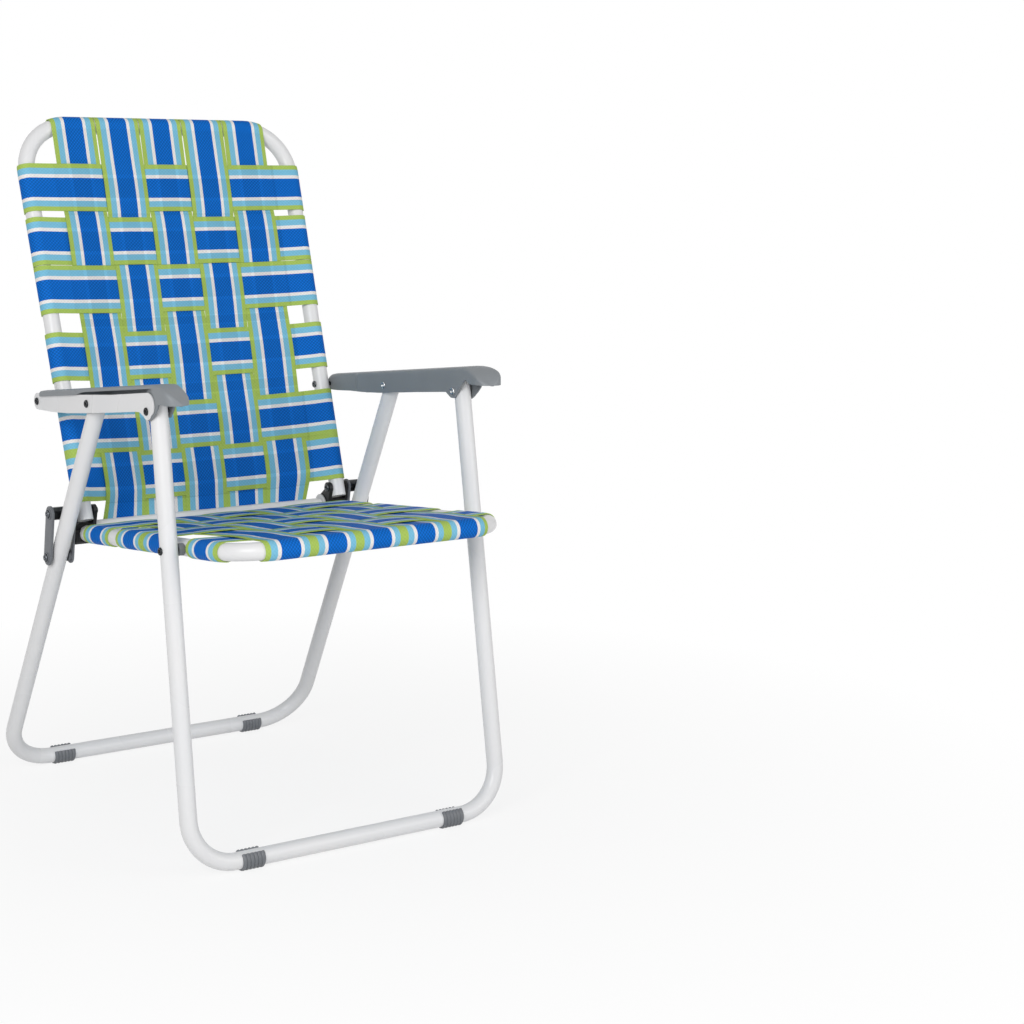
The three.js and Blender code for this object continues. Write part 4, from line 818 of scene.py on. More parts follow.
# Moulded polypropylene: satin grey with the same tool grain as the clips,
# drawn at 1.2 mm, and a little lighter and cooler.
grey_plastic, grey_grain, grey_shader = moulded_plastic(
    "moulded grey polypropylene",
    (30, 4),
    (830, 2),
    ("7d8286", "888c90"),
    0.2,
    {"IOR": 1.49},
)
grey_gloss = add_node(
    grey_plastic,
    "ShaderNodeMapRange",
    {"From Min": 0.3, "From Max": 0.7, "To Min": 0.42, "To Max": 0.54},
    {"Value": grey_grain.outputs["Fac"]},
)
grey_plastic.node_tree.links.new(grey_gloss.outputs["Result"], grey_shader.inputs["Roughness"])


def between(places, at):
    """Reads a value off a line through places, eased so that it has no corners."""
    if at <= places[0][0]:
        return places[0][1]
    for (start, low), (end, high) in zip(places, places[1:]):
        if at <= end:
            share = (at - start) / (end - start)
            return low + (high - low) * share * share * (3 - 2 * share)
    return places[-1][1]


def arm_top(depth, share):
    """Height of the armrest's top, at a share of its width from the inner edge.

    It is straight up to the bill, which slopes to its lip on the inner side and is blunter on the outer one.
    """
    if depth < BILL_CREST:
        ahead = (BILL_CREST - depth) / (BILL_CREST - BILL_TIP)
        inner_curve = 1 - ahead ** 1.75
        outer_curve = math.sqrt(max(0, 1 - ahead ** 3))
        return BILL_LIP + BILL_DROP * (inner_curve + (outer_curve - inner_curve) * share)
    straight = ARM_TOP_HEIGHT - ARM_FALL * (depth - ARM_FRONT_PIVOT[0])
    past_end = max(0, depth - ARM_REAR_END + ARM_END_ROUND)
    return straight - (ARM_END_ROUND - math.sqrt(max(0, ARM_END_ROUND ** 2 - past_end * past_end)))


def arm_inner_bottom(depth):
    """Height of the inner wall's lower edge.

    It is an arch in front of the leg, a wedge at the front rivet and then a long taper.
    """
    if depth < 58:
        return between([(46, BILL_LIP), (58, 583)], depth)
    if depth < 84:
        return max(556, 583 - 1.19 * (depth - 58))
    if depth > 298.2:
        return between([(298.2, 542.5), (412, 536), (ARM_REAR_END, 541)], depth)
    wedge = max(556, 554 + 0.526 * (depth - 84))
    taper = 562.9 - 0.1008 * (depth - 95.75)
    return min(wedge, taper)


def corner_loss(depth, radius):
    """How far a round front corner takes the bill's edge in at one depth."""
    ahead = max(0, BILL_TIP + radius - depth)
    return radius - math.sqrt(max(0, radius * radius - ahead * ahead))


def arm_section(depth):
    """Places across the armrest at one depth: up the inner wall, over the top and down the outer lip.

    Behind the middle rivet the lip is deeper and turns down over the plate.
    """
    inner_top = arm_top(depth, 0)
    outer_top = arm_top(depth, 1)
    edge = between([(63, 4.2), (262, 4.2), (285, 7.5), (404, 7.2)], depth)
    lip = between([(46, BILL_LIP), (63, outer_top - edge)], depth)
    bottom = min(arm_inner_bottom(depth), inner_top)
    inner = between([(44, 207.5), (72, 206), (322, 206), (341.7, 212.9)], depth)
    inner += corner_loss(depth, BILL_INNER_CORNER)
    outer = between([(60, 242.2), (106, 240.6), (396, 240.6), (408, 234.5)], depth)
    outer -= corner_loss(depth, BILL_OUTER_CORNER)
    inner_round = min(5, 0.9 * (inner_top - bottom))
    outer_round = min(4, 0.9 * (outer_top - lip))
    places = [(inner, bottom + (inner_top - inner_round - bottom) * i / 4) for i in range(4)]
    for i in range(7):
        angle = math.pi / 2 * i / 6
        across = inner + inner_round * (1 - math.cos(angle))
        places.append((across, inner_top - inner_round * (1 - math.sin(angle))))
    for i in range(1, 6):
        share = i / 6
        across = inner + inner_round + (outer - outer_round - inner - inner_round) * share
        crown = 0.7 * 4 * share * (1 - share)
        places.append((across, inner_top + (outer_top - inner_top) * share + crown))
    for i in range(7):
        angle = math.pi / 2 * i / 6
        across = outer - outer_round * (1 - math.sin(angle))
        places.append((across, outer_top - outer_round * (1 - math.cos(angle))))
    places += [(outer, outer_top - outer_round + (lip - outer_top + outer_round) * i / 2) for i in (1, 2)]
    return places


def mapped_grid(name, rows):
    """A grid whose vertices are moved to the given places, one list of places for each row."""
    bpy.ops.object.select_all(action="DESELECT")
    bpy.ops.mesh.primitive_grid_add(x_subdivisions=len(rows[0]) - 1, y_subdivisions=len(rows) - 1)
    sheet = bpy.context.object
    sheet.name = name
    places = [place for row in rows for place in row]
    for vertex, place in zip(sheet.data.vertices, places):
        vertex.co = place
    return sheet


bill_length = BILL_CREST - BILL_TIP
arm_stations = [BILL_TIP + bill_length * (1 - math.cos(math.pi / 2 * i / 18)) for i in range(19)]
arm_stations += [61.5 + 1.25 * i for i in range(30)]
arm_stations += [100 + 12 * i for i in range(17)]
arm_stations += [298 + 4 * i for i in range(28)]
arm_stations += [409, 412, 414, 416, 418, 419.5, 420.7, 421.4, ARM_REAR_END]
arm_rim_outline = [
    (300, 563.4),
    (180, 574.6),
    (98, 581),
    (87, 588),
    (78, 595),
    (58, 596),
    (48, 590),
    (52, 583),
    (54.5, 579),
    (58.5, 571),
    (65, 564.5),
    (73, 558),
    (80, 553.6),
    *arc((82.4, 565.2), 11.6, 258, 300, 6),
    (92, 560),
    (104, 563),
    (236, 548),
    (242, 558.2),
    (300, 554),
]
for side, label in SIDES:
    arm_rows = []
    for depth in arm_stations:
        arm_rows.append([spot(side * across, depth, height) for across, height in arm_section(depth)])
    arm = mapped_grid(f"armrest_moulding_{label}", arm_rows)
    bpy.ops.object.mode_set(mode="EDIT")
    weld()
    thicken(arm, ARM_WALL, -1)
    bpy.ops.object.shade_smooth_by_angle(angle=math.radians(50))
    rim = soften(flat_piece("arm_rim", side, *ARM_RIM, arm_rim_outline), 0.4, 2)
    boss_outline = arc(ARM_REAR_PIVOT, ARM_BOSS_RADIUS, 0, 352, 44)
    arm_boss = soften(flat_piece("arm_boss", side, *ARM_BOSS, boss_outline), 0.4, 2)
    bpy.ops.object.select_all(action="DESELECT")
    rim.select_set(True)
    arm_boss.select_set(True)
    arm.select_set(True)
    bpy.context.view_layer.objects.active = arm
    bpy.ops.object.join()
    fit(arm, "arms", "grey_plastic", grey_plastic, f"arm_{label}")

# Armrest side plates: pressed steel, painted with the frame, with a round nose and a lobe in front.
# Three rivets hold each plate to the legs and the moulding.
PLATE = (235.5, 237.7)
plate_outline = [
    *arc(ARM_REAR_PIVOT, 11, 85, -90, 24),
    (360, 535.4),
    (313.6, 538.65),
    (254, 545),
    (180, 553.4),
    (112, 561.6),
    (104, 562),
    (99.6, 561),
    (95.5, 559.4),
    *arc(ARM_FRONT_PIVOT, 10.5, -40, -150, 16),
    *arc((80, 573), 15, 218, 84, 24),
    (180, 575.8),
    (300, 564.2),
]
for side, label in SIDES:
    side_plate = soften(flat_piece(f"armrest_plate_{label}", side, *PLATE, plate_outline), 0.6, 3)
    fit(side_plate, "arms", "white_paint", white_paint, f"arm_plate_{label}")

# Armrest rivets: tubular steel rivets through plate, tube and moulding, rolled over on the plate.
# The rear one ends in the moulding's boss, and a second rivet holds the back tube to it.
PLATE_SEAT = 238
WALL_SEAT = 205.7
REAR_RIVET_END = 212.6
BACK_RIVET_SEAT = 186.9
for side, label in SIDES:
    for place, centre in (("front", ARM_FRONT_PIVOT), ("middle", ARM_MIDDLE_PIVOT)):
        leg_rivet = two_headed_rivet(
            f"armrest_rivet_{place}_{label}", side, centre, WALL_SEAT, PLATE_SEAT
        )
        fit(leg_rivet, "arms", "zinc_steel", zinc_steel, f"arm_rivet_{place}_{label}")
    rear_rivet = rivet(
        f"armrest_rivet_rear_{label}",
        side,
        ARM_REAR_PIVOT,
        PLATE_SEAT + RIVET_CROWN,
        PLATE_SEAT,
        RIVET_HEAD,
        REAR_RIVET_END,
    )
    fit(rear_rivet, "arms", "zinc_steel", zinc_steel, f"arm_rivet_rear_{label}")
    back_rivet = rivet(
        f"back_tube_rivet_{label}",
        side,
        ARM_REAR_PIVOT,
        BACK_RIVET_SEAT - RIVET_CROWN,
        BACK_RIVET_SEAT,
        RIVET_HEAD,
        REAR_RIVET_END - SEATING_GAP,
    )
    fit(back_rivet, "back", "zinc_steel", zinc_steel, f"back_rivet_{label}")

# Webbing across the back: six woven polypropylene straps, each pulled tight round both side tubes.
# They pass over and under the lengthwise straps, and their ends are fixed behind the tubes.
STRAP_WIDTH = 66
STRAP_THICKNESS = 1.1
STRAP_RADIUS = 12
LENGTHWISE_WIDTH = 63.9
LENGTHWISE_PITCH = 62.9
WRAP = math.radians(200)
WEAVE_EDGE = 0.66
WEAVE_CROWN = 1.7
BACK_ROW_TOPS = [475, 400.5, 333.7, 241.4, 142.4, 77]
strap_centres = [LENGTHWISE_PITCH * (i - 2) for i in range(5)]
WEAVE_HALF_WIDTH = strap_centres[-1] + LENGTHWISE_WIDTH / 2
WHITE_STRIPE = 0.26
LIME = "a5bf5f"
PALE_BLUE = "7abad6"
OFF_WHITE = "e6e2e0"
BLUE = "1464bc"
WRAP_STEPS = 16
LEAD_STEPS = 8
CROSSING_STEPS = 12
LEAD_STRAIGHTENS = (0.4, 22)
STRAIGHTER_PULL = 0.3
STRAIGHTER_REACH = 33
width_shares = [i / 10 for i in range(11)]

# Woven polypropylene webbing: flat tapes of blue, pale blue, white and lime run along the strap
# and thin cross threads bind them. The threads are about 1.5 mm apart and are drawn at 2.4 mm to
# show. They give rows of fine dots in the blue, and the stripes' edges waver a little. The weave
# is thin, and the light that comes through it is painted into its colour: a pale stripe or tube
# behind it makes it lighter and a dark one darker.
webbing = new_material("woven striped polypropylene webbing")
web_place = add_node(webbing, "ShaderNodeTexCoord", {}, {})
web_axes = add_node(webbing, "ShaderNodeSeparateXYZ", {}, {"Vector": web_place.outputs["UV"]})
web_fray = add_node(
    webbing, "ShaderNodeTexNoise", {"Scale": 350, "Detail": 1}, {"Vector": web_place.outputs["UV"]}
)
web_waver = add_node(
    webbing,
    "ShaderNodeMath",
    {"operation": "MULTIPLY_ADD", 1: 0.0005, 2: -0.00025},
    {0: web_fray.outputs["Fac"]},
)
web_across = add_node(
    webbing,
    "ShaderNodeMath",
    {"operation": "ADD"},
    {0: web_axes.outputs["X"], 1: web_waver.outputs["Value"]},
)
web_share = add_node(
    webbing,
    "ShaderNodeMath",
    {"operation": "DIVIDE", 1: STRAP_WIDTH / 1000},
    {0: web_across.outputs["Value"]},
)
web_stripes = add_node(webbing, "ShaderNodeValToRGB", {}, {"Fac": web_share.outputs["Value"]})
web_beneath = add_node(webbing, "ShaderNodeAttribute", {"attribute_name": "beneath"}, {})
web_behind = add_node(webbing, "ShaderNodeValToRGB", {}, {"Fac": web_beneath.outputs["Fac"]})
stripe_starts = [
    (0.096, PALE_BLUE),
    (0.224, OFF_WHITE),
    (0.298, BLUE),
    (0.713, OFF_WHITE),
    (0.783, PALE_BLUE),
    (0.904, LIME),
]
set_bands(web_stripes.color_ramp, LIME, stripe_starts)
set_bands(web_behind.color_ramp, LIME, stripe_starts)
# Painted light through the weave: the brightness of the stripe or tube behind makes the strap's colour
# lighter or darker.
web_painted_through_light = add_node(webbing, "ShaderNodeRGBToBW", {}, {"Color": web_behind.outputs["Color"]})
web_warp_turns = add_node(
    webbing, "ShaderNodeMath", {"operation": "MULTIPLY", 1: 2 * math.pi / 0.0046}, {0: web_axes.outputs["X"]}
)
web_weft_turns = add_node(
    webbing, "ShaderNodeMath", {"operation": "MULTIPLY", 1: 2 * math.pi / 0.005}, {0: web_axes.outputs["Y"]}
)
web_warp = add_node(webbing, "ShaderNodeMath", {"operation": "SINE"}, {0: web_warp_turns.outputs["Value"]})
web_weft = add_node(webbing, "ShaderNodeMath", {"operation": "SINE"}, {0: web_weft_turns.outputs["Value"]})
web_dots = add_node(
    webbing,
    "ShaderNodeMath",
    {"operation": "MULTIPLY"},
    {0: web_warp.outputs["Value"], 1: web_weft.outputs["Value"]},
)
web_wear = add_node(
    webbing, "ShaderNodeTexNoise", {"Scale": 40, "Detail": 3}, {"Vector": web_place.outputs["Object"]}
)
web_bright = add_node(webbing, "ShaderNodeRGBToBW", {}, {"Color": web_stripes.outputs["Color"]})
web_fleck = add_node(
    webbing,
    "ShaderNodeMapRange",
    {"From Min": 0.13, "From Max": 0.4, "To Min": 0.42, "To Max": 0.07},
    {"Value": web_bright.outputs["Val"]},
)
web_shade = add_node(
    webbing,
    "ShaderNodeMath",
    {"operation": "MULTIPLY_ADD", 2: 0.82},
    {0: web_dots.outputs["Value"], 1: web_fleck.outputs["Result"]},
)
web_lit = add_node(
    webbing,
    "ShaderNodeMath",
    {"operation": "MULTIPLY_ADD", 1: 0.24},
    {0: web_painted_through_light.outputs["Val"], 2: web_shade.outputs["Value"]},
)
web_tone = add_node(
    webbing,
    "ShaderNodeMath",
    {"operation": "MULTIPLY_ADD", 1: 0.12},
    {0: web_wear.outputs["Fac"], 2: web_lit.outputs["Value"]},
)
web_colour = add_node(
    webbing,
    "ShaderNodeMix",
    {"data_type": "RGBA", "blend_type": "MULTIPLY", 0: 1},
    {6: web_stripes.outputs["Color"], 7: web_tone.outputs["Value"]},
)
web_gloss = add_node(
    webbing,
    "ShaderNodeMapRange",
    {"From Min": -1, "From Max": 1, "To Min": 0.56, "To Max": 0.4},
    {"Value": web_dots.outputs["Value"]},
)
web_bump = add_node(
    webbing,
    "ShaderNodeBump",
    {"Strength": 0.5, "Distance": 0.0003},
    {"Height": web_dots.outputs["Value"]},
)
web_shader = add_node(
    webbing,
    "ShaderNodeBsdfPrincipled",
    {"IOR": 1.49, "Specular IOR Level": 0.02},
    {
        "Base Color": web_colour.outputs[2],
        "Roughness": web_gloss.outputs["Result"],
        "Normal": web_bump.outputs["Normal"],
    },
)
add_node(webbing, "ShaderNodeOutputMaterial", {}, {"Surface": web_shader.outputs["BSDF"]})


def bend_at(beyond, radius):
    """How far a bent tube has turned in at a place on its bend, and how slanted it is there."""
    slant = math.asin(max(0, beyond) / radius)
    return radius * (1 - math.cos(slant)), 1 / math.cos(slant)


CROSSBAR_STRAP = CROSSBAR_RADIUS + 0.4 + STRAP_THICKNESS / 2
BACK_SAG = 32
BACK_SAG_LENGTH = 492
LOWER_CURVE_UP = 35
LOWER_CURVE_RADIUS = 42
LOWER_STRAIGHT = BACK_ROW_TOPS[-1] - LOWER_CURVE_UP
LOWER_REACH = LOWER_CURVE_RADIUS + CROSSBAR_STRAP


def fan(up):
    """Spacing of the lengthwise straps at a place up the back, against their spacing at the hinge."""
    return back_half_width(up) / back_half_width(0)


def back_sag(across, up):
    """How far the webbing is drawn back between the side tubes, most in the middle and low down."""
    drawn = BACK_SAG * (max(0, BACK_LENGTH - up) / BACK_SAG_LENGTH) ** 1.1
    return drawn * max(0, 1 - abs(across / back_half_width(up)) ** 3)


def lower_curve(across):
    """The webbing's last bend towards the crossbar: its start, how far it turns and the run after it."""
    start = STRAP_RADIUS - back_sag(across, LOWER_CURVE_UP)
    reach = Vector(CROSSBAR) - Vector(on_back(LOWER_CURVE_UP, start - LOWER_CURVE_RADIUS))
    turn = math.pi / 2 + BACK_RECLINE + math.atan2(reach.y, reach.x) + math.asin(LOWER_REACH / reach.length)
    return start, turn, math.sqrt(reach.length_squared - LOWER_REACH ** 2)


def lower_length(across):
    """Length of the lengthwise webbing from the last crosswise strap's upper edge to the crossbar."""
    start, turn, run = lower_curve(across)
    return LOWER_STRAIGHT + LOWER_CURVE_RADIUS * turn + run


def down_back(across, down, lift):
    """A place down the webbing from the last crosswise strap's upper edge, on its curve to the crossbar."""
    if down < LOWER_STRAIGHT:
        up = BACK_ROW_TOPS[-1] - down
        return on_back(up, STRAP_RADIUS + lift - back_sag(across, up))
    start, whole_turn, _ = lower_curve(across)
    past_straight = down - LOWER_STRAIGHT
    turn = min(past_straight / LOWER_CURVE_RADIUS, whole_turn)
    run = past_straight - LOWER_CURVE_RADIUS * turn
    fall = LOWER_CURVE_RADIUS * math.sin(turn) + run * math.cos(turn) + lift * math.sin(turn)
    forward = start - LOWER_CURVE_RADIUS * (1 - math.cos(turn)) - run * math.sin(turn)
    return on_back(LOWER_CURVE_UP - fall, forward + lift * math.cos(turn))


def crossing(share):
    """Height of a strap where it bows over or under another, at a share from one edge to the other."""
    return WEAVE_EDGE + (WEAVE_CROWN - WEAVE_EDGE) * 4 * share * (1 - share)


def woven_strap(name, rows, beneath):
    """A strap from rows of places along its length, one row for each place across its width.

    For each place along it, beneath tells which stripe of the strap behind lies there.
    """
    strap = mapped_grid(name, rows)
    middle = rows[len(rows) // 2]
    along = [0]
    for before, after in zip(middle, middle[1:]):
        along.append(along[-1] + (after - before).length)
    coordinates = strap.data.uv_layers.active.data
    columns = len(middle)
    for loop in strap.data.loops:
        row, column = divmod(loop.vertex_index, columns)
        coordinates[loop.index].uv = (width_shares[row] * STRAP_WIDTH / 1000, along[column])
    behind = strap.data.attributes.new("beneath", "FLOAT", "POINT")
    behind.data.foreach_set("value", beneath * len(rows))
    thicken(strap, STRAP_THICKNESS, 0)
    soften(strap, 0.3, 2)
    strap_length = round(along[-1], 4)
    return strap, strap_length


def across_row(number, half_width, stretch, spacing, place):
    """Places along a crosswise strap: round one side tube, through the weave, round the other."""
    start = []
    for i in range(WRAP_STEPS + 1):
        angle = WRAP * (1 - i / WRAP_STEPS)
        outside = half_width + stretch * STRAP_RADIUS * math.sin(angle)
        start.append((outside, STRAP_RADIUS * math.cos(angle)))
    over = 1 if number % 2 == 0 else -1
    for i in range(1, LEAD_STEPS):
        share = (i / LEAD_STEPS) ** 1.4
        outside = half_width + (WEAVE_HALF_WIDTH * spacing - half_width) * share
        start.append((outside, STRAP_RADIUS + over * WEAVE_EDGE * share))
    places = [place(-across, lift) for across, lift in start]
    for column, centre in enumerate(strap_centres):
        over = 1 if (number + column) % 2 == 0 else -1
        for i in range(CROSSING_STEPS + 1):
            lift = STRAP_RADIUS + over * crossing(i / CROSSING_STEPS)
            aside = LENGTHWISE_WIDTH * (i / CROSSING_STEPS - 0.5)
            places.append(place(centre * spacing + aside, lift))
    return places + [place(across, lift) for across, lift in reversed(start)]


def clear_of_tube(half_width, across, lift, sag):
    """Height of a crosswise strap that sags between two tubes, kept outside the tube that it leaves."""
    inside = half_width - abs(across)
    if lift < 0 or inside < 0:
        return lift
    if inside > STRAP_RADIUS:
        return lift - sag
    return max(lift - sag, math.sqrt(STRAP_RADIUS ** 2 - inside ** 2))


def on_back_strap(number, share, across, forward):
    """A place on a crosswise strap. The last one goes with the lengthwise straps where they curve back.

    It is pulled a little straighter where it meets the second and fourth of them.
    """
    up = BACK_ROW_TOPS[number] - STRAP_WIDTH * share
    turned_in, _ = bend_at(up - BACK_LENGTH + BACK_BEND, BACK_BEND)
    drawn = clear_of_tube(back_half_width(up) - turned_in, across, forward, back_sag(across, up))
    flat = Vector(on_back(up, drawn))
    if number < len(BACK_ROW_TOPS) - 1:
        return spot(across, *flat)
    curved = Vector(down_back(across, STRAP_WIDTH * share, forward - STRAP_RADIUS))
    lead_start, lead_end = [WEAVE_HALF_WIDTH + outside for outside in LEAD_STRAIGHTENS]
    follows = between([(lead_start, 1), (lead_end, 0)], abs(across))
    off_strap = (abs(across) - LENGTHWISE_PITCH) / STRAIGHTER_REACH
    pulled_straight = STRAIGHTER_PULL * max(0, 1 - off_strap ** 2)
    return spot(across, *flat.lerp(curved, follows * (1 - pulled_straight)))


crossed_stripes = [i / CROSSING_STEPS for i in range(CROSSING_STEPS + 1)]
beneath_lead = [WHITE_STRIPE] * (WRAP_STEPS + LEAD_STEPS)
beneath_across = beneath_lead + crossed_stripes * len(strap_centres) + beneath_lead
for number, top in enumerate(BACK_ROW_TOPS):
    strap_rows = []
    for share in width_shares:
        up = top - STRAP_WIDTH * share
        turned_in, stretch = bend_at(up - BACK_LENGTH + BACK_BEND, BACK_BEND)
        strap_rows.append(
            across_row(
                number,
                back_half_width(up) - turned_in,
                stretch,
                fan(up),
                lambda across, forward: on_back_strap(number, share, across, forward),
            )
        )
    strap, strap_length = woven_strap(f"back_webbing_across_{number + 1}", strap_rows, beneath_across)
    fit(strap, "back", "striped_webbing", webbing, f"back_strap_across_{number + 1}")

# Webbing across the seat: four straps of a wider cut, pulled tight round both sides of the seat tube.
# Two of them lie edge to edge, and wider gaps are left in front and behind.
SEAT_STRAP_WIDTH = 74
SEAT_SPACING = 1.013
SEAT_SAG = 2
SEAT_SAG_LENGTH = 406
SEAT_ROW_REARS = [289.5, 190, 115.2, -8.1]


def seat_sag(across, rearward):
    """How far the webbing is drawn down between the seat's sides, most in the middle and at the rear."""
    drawn = SEAT_SAG * max(0, (rearward + SEAT_FRONT) / SEAT_SAG_LENGTH)
    return drawn * max(0, 1 - abs(across / SEAT_HALF_WIDTH) ** 3)


def on_seat_strap(half_width, rearward, across, up):
    """A place on a crosswise strap of the seat."""
    height = clear_of_tube(half_width, across, up, seat_sag(across, rearward))
    return spot(across, *on_seat(rearward, height))


for number, rear in enumerate(SEAT_ROW_REARS):
    strap_rows = []
    for share in width_shares:
        rearward = rear - SEAT_STRAP_WIDTH * share
        turned_in, stretch = bend_at(-rearward - SEAT_FRONT + SEAT_BEND, SEAT_BEND)
        strap_rows.append(
            across_row(
                number,
                SEAT_HALF_WIDTH - turned_in,
                stretch,
                SEAT_SPACING,
                lambda across, up: on_seat_strap(SEAT_HALF_WIDTH - turned_in, rearward, across, up),
            )
        )
    strap, strap_length = woven_strap(f"seat_webbing_across_{number + 1}", strap_rows, beneath_across)
    fit(strap, "seat", "striped_webbing", webbing, f"seat_strap_across_{number + 1}")

# Lengthwise webbing: five straps, each in one piece from the top of the back to the front of the seat.
# Each goes behind and under the crossbar, which turns it from the back into the seat.
CROSSBAR_TURNS = 16
LOWER_STEPS = 8


def tangent_to_crossbar(place, side):
    """Where a straight run of strap from a place meets its path round the crossbar."""
    towards = Vector(CROSSBAR) - Vector(place)
    spread = math.asin(CROSSBAR_STRAP / towards.length)
    heading = math.atan2(towards.y, towards.x) + side * spread
    reach = towards.length * math.cos(spread)
    return Vector(place) + Vector((math.cos(heading), math.sin(heading))) * reach


def angle_at_crossbar(place):
    """Direction from the crossbar's axis to a place, in degrees."""
    return math.degrees(math.atan2(place[1] - CROSSBAR[1], place[0] - CROSSBAR[0]))


for column, centre in enumerate(strap_centres):
    strap_rows = []
    for share in width_shares:
        aside = LENGTHWISE_WIDTH * (share - 0.5)
        top_across = centre * fan(BACK_LENGTH) + aside
        top_straight = back_half_width(BACK_LENGTH) - BACK_BEND
        turned_in, stretch = bend_at(abs(top_across) - top_straight, BACK_BEND)
        run = []
        for i in range(WRAP_STEPS + 1):
            angle = WRAP * (1 - i / WRAP_STEPS)
            up = BACK_LENGTH - turned_in + stretch * STRAP_RADIUS * math.sin(angle)
            run.append((top_across, *on_back(up, STRAP_RADIUS * math.cos(angle))))
        for number, top in enumerate(BACK_ROW_TOPS[:-1]):
            under = -1 if (number + column) % 2 == 0 else 1
            for i in range(CROSSING_STEPS + 1):
                up = top - STRAP_WIDTH * i / CROSSING_STEPS
                across = centre * fan(up) + aside
                forward = STRAP_RADIUS + under * crossing(i / CROSSING_STEPS) - back_sag(across, up)
                run.append((across, *on_back(up, forward)))
        under = -under
        for i in range(CROSSING_STEPS + 1):
            down = STRAP_WIDTH * i / CROSSING_STEPS
            across = centre * fan(BACK_ROW_TOPS[-1] - down) + aside
            run.append((across, *down_back(across, down, under * crossing(i / CROSSING_STEPS))))
        across = centre + aside
        for i in range(1, LOWER_STEPS + 1):
            share_down = i / LOWER_STEPS
            down = STRAP_WIDTH + (lower_length(across) - STRAP_WIDTH) * share_down
            run.append((across, *down_back(across, down, under * WEAVE_EDGE * (1 - share_down))))
        landing = angle_at_crossbar(run[-1][1:])
        under = -1 if column % 2 == 0 else 1
        first_lift = STRAP_RADIUS + under * WEAVE_EDGE - seat_sag(across, SEAT_ROW_REARS[0])
        leaving = angle_at_crossbar(tangent_to_crossbar(on_seat(SEAT_ROW_REARS[0], first_lift), -1))
        leaving = leaving - 360 if leaving > landing else leaving
        round_crossbar = arc(CROSSBAR, CROSSBAR_STRAP, landing, leaving, CROSSBAR_TURNS)
        run += [(across, *place) for place in round_crossbar[1:]]
        across = centre * SEAT_SPACING + aside
        for number, rear in enumerate(SEAT_ROW_REARS):
            under = -1 if (number + column) % 2 == 0 else 1
            for i in range(CROSSING_STEPS + 1):
                rearward = rear - SEAT_STRAP_WIDTH * i / CROSSING_STEPS
                lift = STRAP_RADIUS + under * crossing(i / CROSSING_STEPS) - seat_sag(across, rearward)
                run.append((across, *on_seat(rearward, lift)))
        front_straight = SEAT_HALF_WIDTH - SEAT_BEND
        turned_in, stretch = bend_at(abs(across) - front_straight, SEAT_BEND)
        for i in range(WRAP_STEPS + 1):
            angle = WRAP * i / WRAP_STEPS
            rearward = turned_in - SEAT_FRONT - stretch * STRAP_RADIUS * math.sin(angle)
            run.append((across, *on_seat(rearward, STRAP_RADIUS * math.cos(angle))))
        strap_rows.append([spot(*place) for place in run])
    beneath_wrap = [WHITE_STRIPE] * (WRAP_STEPS + 1)
    beneath_along = beneath_wrap + crossed_stripes * len(BACK_ROW_TOPS)
    beneath_along += [WHITE_STRIPE] * (LOWER_STEPS + CROSSBAR_TURNS)
    beneath_along += crossed_stripes * len(SEAT_ROW_REARS) + beneath_wrap
    strap, strap_length = woven_strap(f"webbing_lengthwise_{column + 1}", strap_rows, beneath_along)
    strap.data.materials.clear()
    strap.data.materials.append(webbing)
    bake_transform(strap)
    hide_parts(f"back_strap_down_{column + 1}", f"seat_strap_along_{column + 1}")

# Studio: a wide white floor that fades into the white behind it, and three large soft lamps.
# The camera stands in front of the chair, to its right, and a little above the arms.
LAMP_TARGET = Vector((0, 0, 0.45))
CAMERA_PLACE = (-1.3336, -2.4345, 0.8699)
CAMERA_LENS = 73.186
CAMERA_HEADING = math.radians(-35.838)
CAMERA_DIP = math.radians(9.648)
CAMERA_ROLL = math.radians(0.68)
bpy.ops.object.select_all(action="DESELECT")
bpy.ops.mesh.primitive_circle_add(vertices=64, radius=12, fill_type="NGON", location=(0, 0, -0.0005))
floor = bpy.context.object
floor.name = "studio_floor"
floor_paint = new_material("matt white floor")
floor_place = add_node(floor_paint, "ShaderNodeTexCoord", {}, {})
floor_reach = add_node(
    floor_paint, "ShaderNodeVectorMath", {"operation": "LENGTH"}, {0: floor_place.outputs["Object"]}
)
floor_fade = add_node(
    floor_paint,
    "ShaderNodeMapRange",
    {"From Min": 0.2, "From Max": 1.2, "To Min": 0.82, "To Max": 1},
    {"Value": floor_reach.outputs["Value"]},
)
floor_rays = add_node(floor_paint, "ShaderNodeLightPath", {}, {})
floor_seen = add_node(
    floor_paint,
    "ShaderNodeMath",
    {"operation": "MAXIMUM"},
    {0: floor_rays.outputs["Is Camera Ray"], 1: floor_rays.outputs["Is Glossy Ray"]},
)
floor_white = add_node(
    floor_paint,
    "ShaderNodeMath",
    {"operation": "MULTIPLY"},
    {0: floor_fade.outputs["Result"], 1: floor_seen.outputs["Value"]},
)
floor_matt = add_node(floor_paint, "ShaderNodeBsdfDiffuse", {"Color": linear("f4f4f4")}, {})
floor_glow = add_node(floor_paint, "ShaderNodeEmission", {"Color": linear("ffffff"), "Strength": 1}, {})
floor_mix = add_node(
    floor_paint,
    "ShaderNodeMixShader",
    {},
    {0: floor_white.outputs["Value"], 1: floor_matt.outputs["BSDF"], 2: floor_glow.outputs["Emission"]},
)
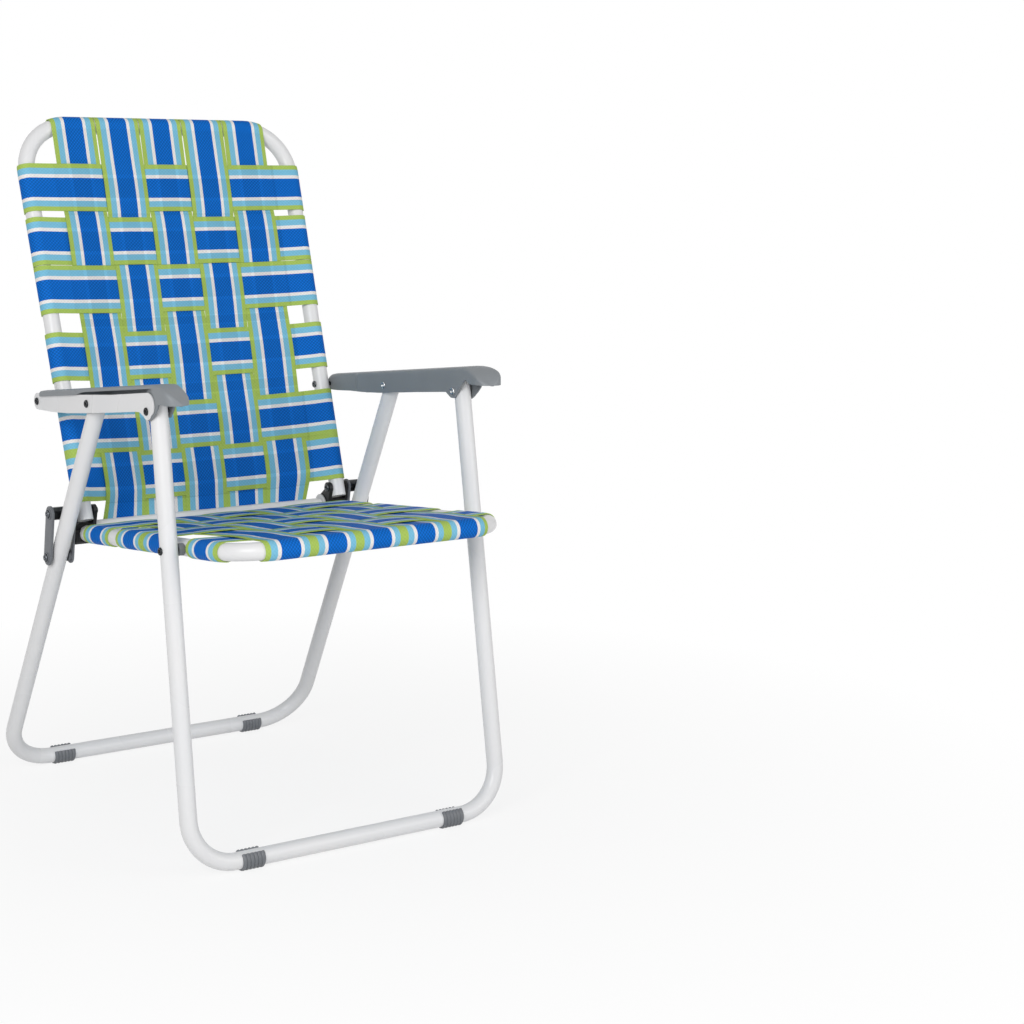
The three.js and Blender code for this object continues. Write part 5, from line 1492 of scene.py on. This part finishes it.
add_node(floor_paint, "ShaderNodeOutputMaterial", {}, {"Surface": floor_mix.outputs["Shader"]})
floor.data.materials.append(floor_paint)

world = bpy.data.worlds.new("studio white")
bpy.context.scene.world = world
world.use_nodes = True
world.node_tree.nodes.clear()
world_rays = add_node(world, "ShaderNodeLightPath", {}, {})
world_direct = add_node(
    world,
    "ShaderNodeMath",
    {"operation": "MAXIMUM"},
    {0: world_rays.outputs["Is Camera Ray"], 1: world_rays.outputs["Is Glossy Ray"]},
)
world_seen = add_node(
    world,
    "ShaderNodeMath",
    {"operation": "MAXIMUM"},
    {0: world_direct.outputs["Value"], 1: world_rays.outputs["Is Transmission Ray"]},
)
world_strength = add_node(
    world,
    "ShaderNodeMapRange",
    {"To Min": 0.3, "To Max": 1},
    {"Value": world_seen.outputs["Value"]},
)
world_light = add_node(
    world,
    "ShaderNodeBackground",
    {"Color": linear("ffffff")},
    {"Strength": world_strength.outputs["Result"]},
)
add_node(world, "ShaderNodeOutputWorld", {}, {"Surface": world_light.outputs["Background"]})

for lamp_name, place, size, power in (
    ("key softbox", (-2.4, -2.2, 1.8), 1.6, 66),
    ("fill softbox", (1.6, -3.0, 1.4), 2.0, 33),
    ("top softbox", (-0.3, 0.4, 3.4), 2.5, 3),
):
    bpy.ops.object.light_add(type="AREA", location=place)
    lamp = bpy.context.object
    lamp.name = lamp_name
    lamp.data.size = size
    lamp.data.energy = power
    lamp.rotation_euler = (LAMP_TARGET - Vector(place)).to_track_quat("-Z", "Y").to_euler()

bpy.ops.object.camera_add()
camera = bpy.context.object
camera.data.sensor_width = 36
camera.data.lens = CAMERA_LENS
camera.matrix_world = (
    Matrix.Translation(CAMERA_PLACE)
    @ Matrix.Rotation(CAMERA_HEADING, 4, "Z")
    @ Matrix.Rotation(math.pi / 2 - CAMERA_DIP, 4, "X")
    @ Matrix.Rotation(CAMERA_ROLL, 4, "Z")
)
bpy.context.scene.camera = camera
bpy.context.scene.view_settings.view_transform = "Standard"

bpy.context.view_layer.update()
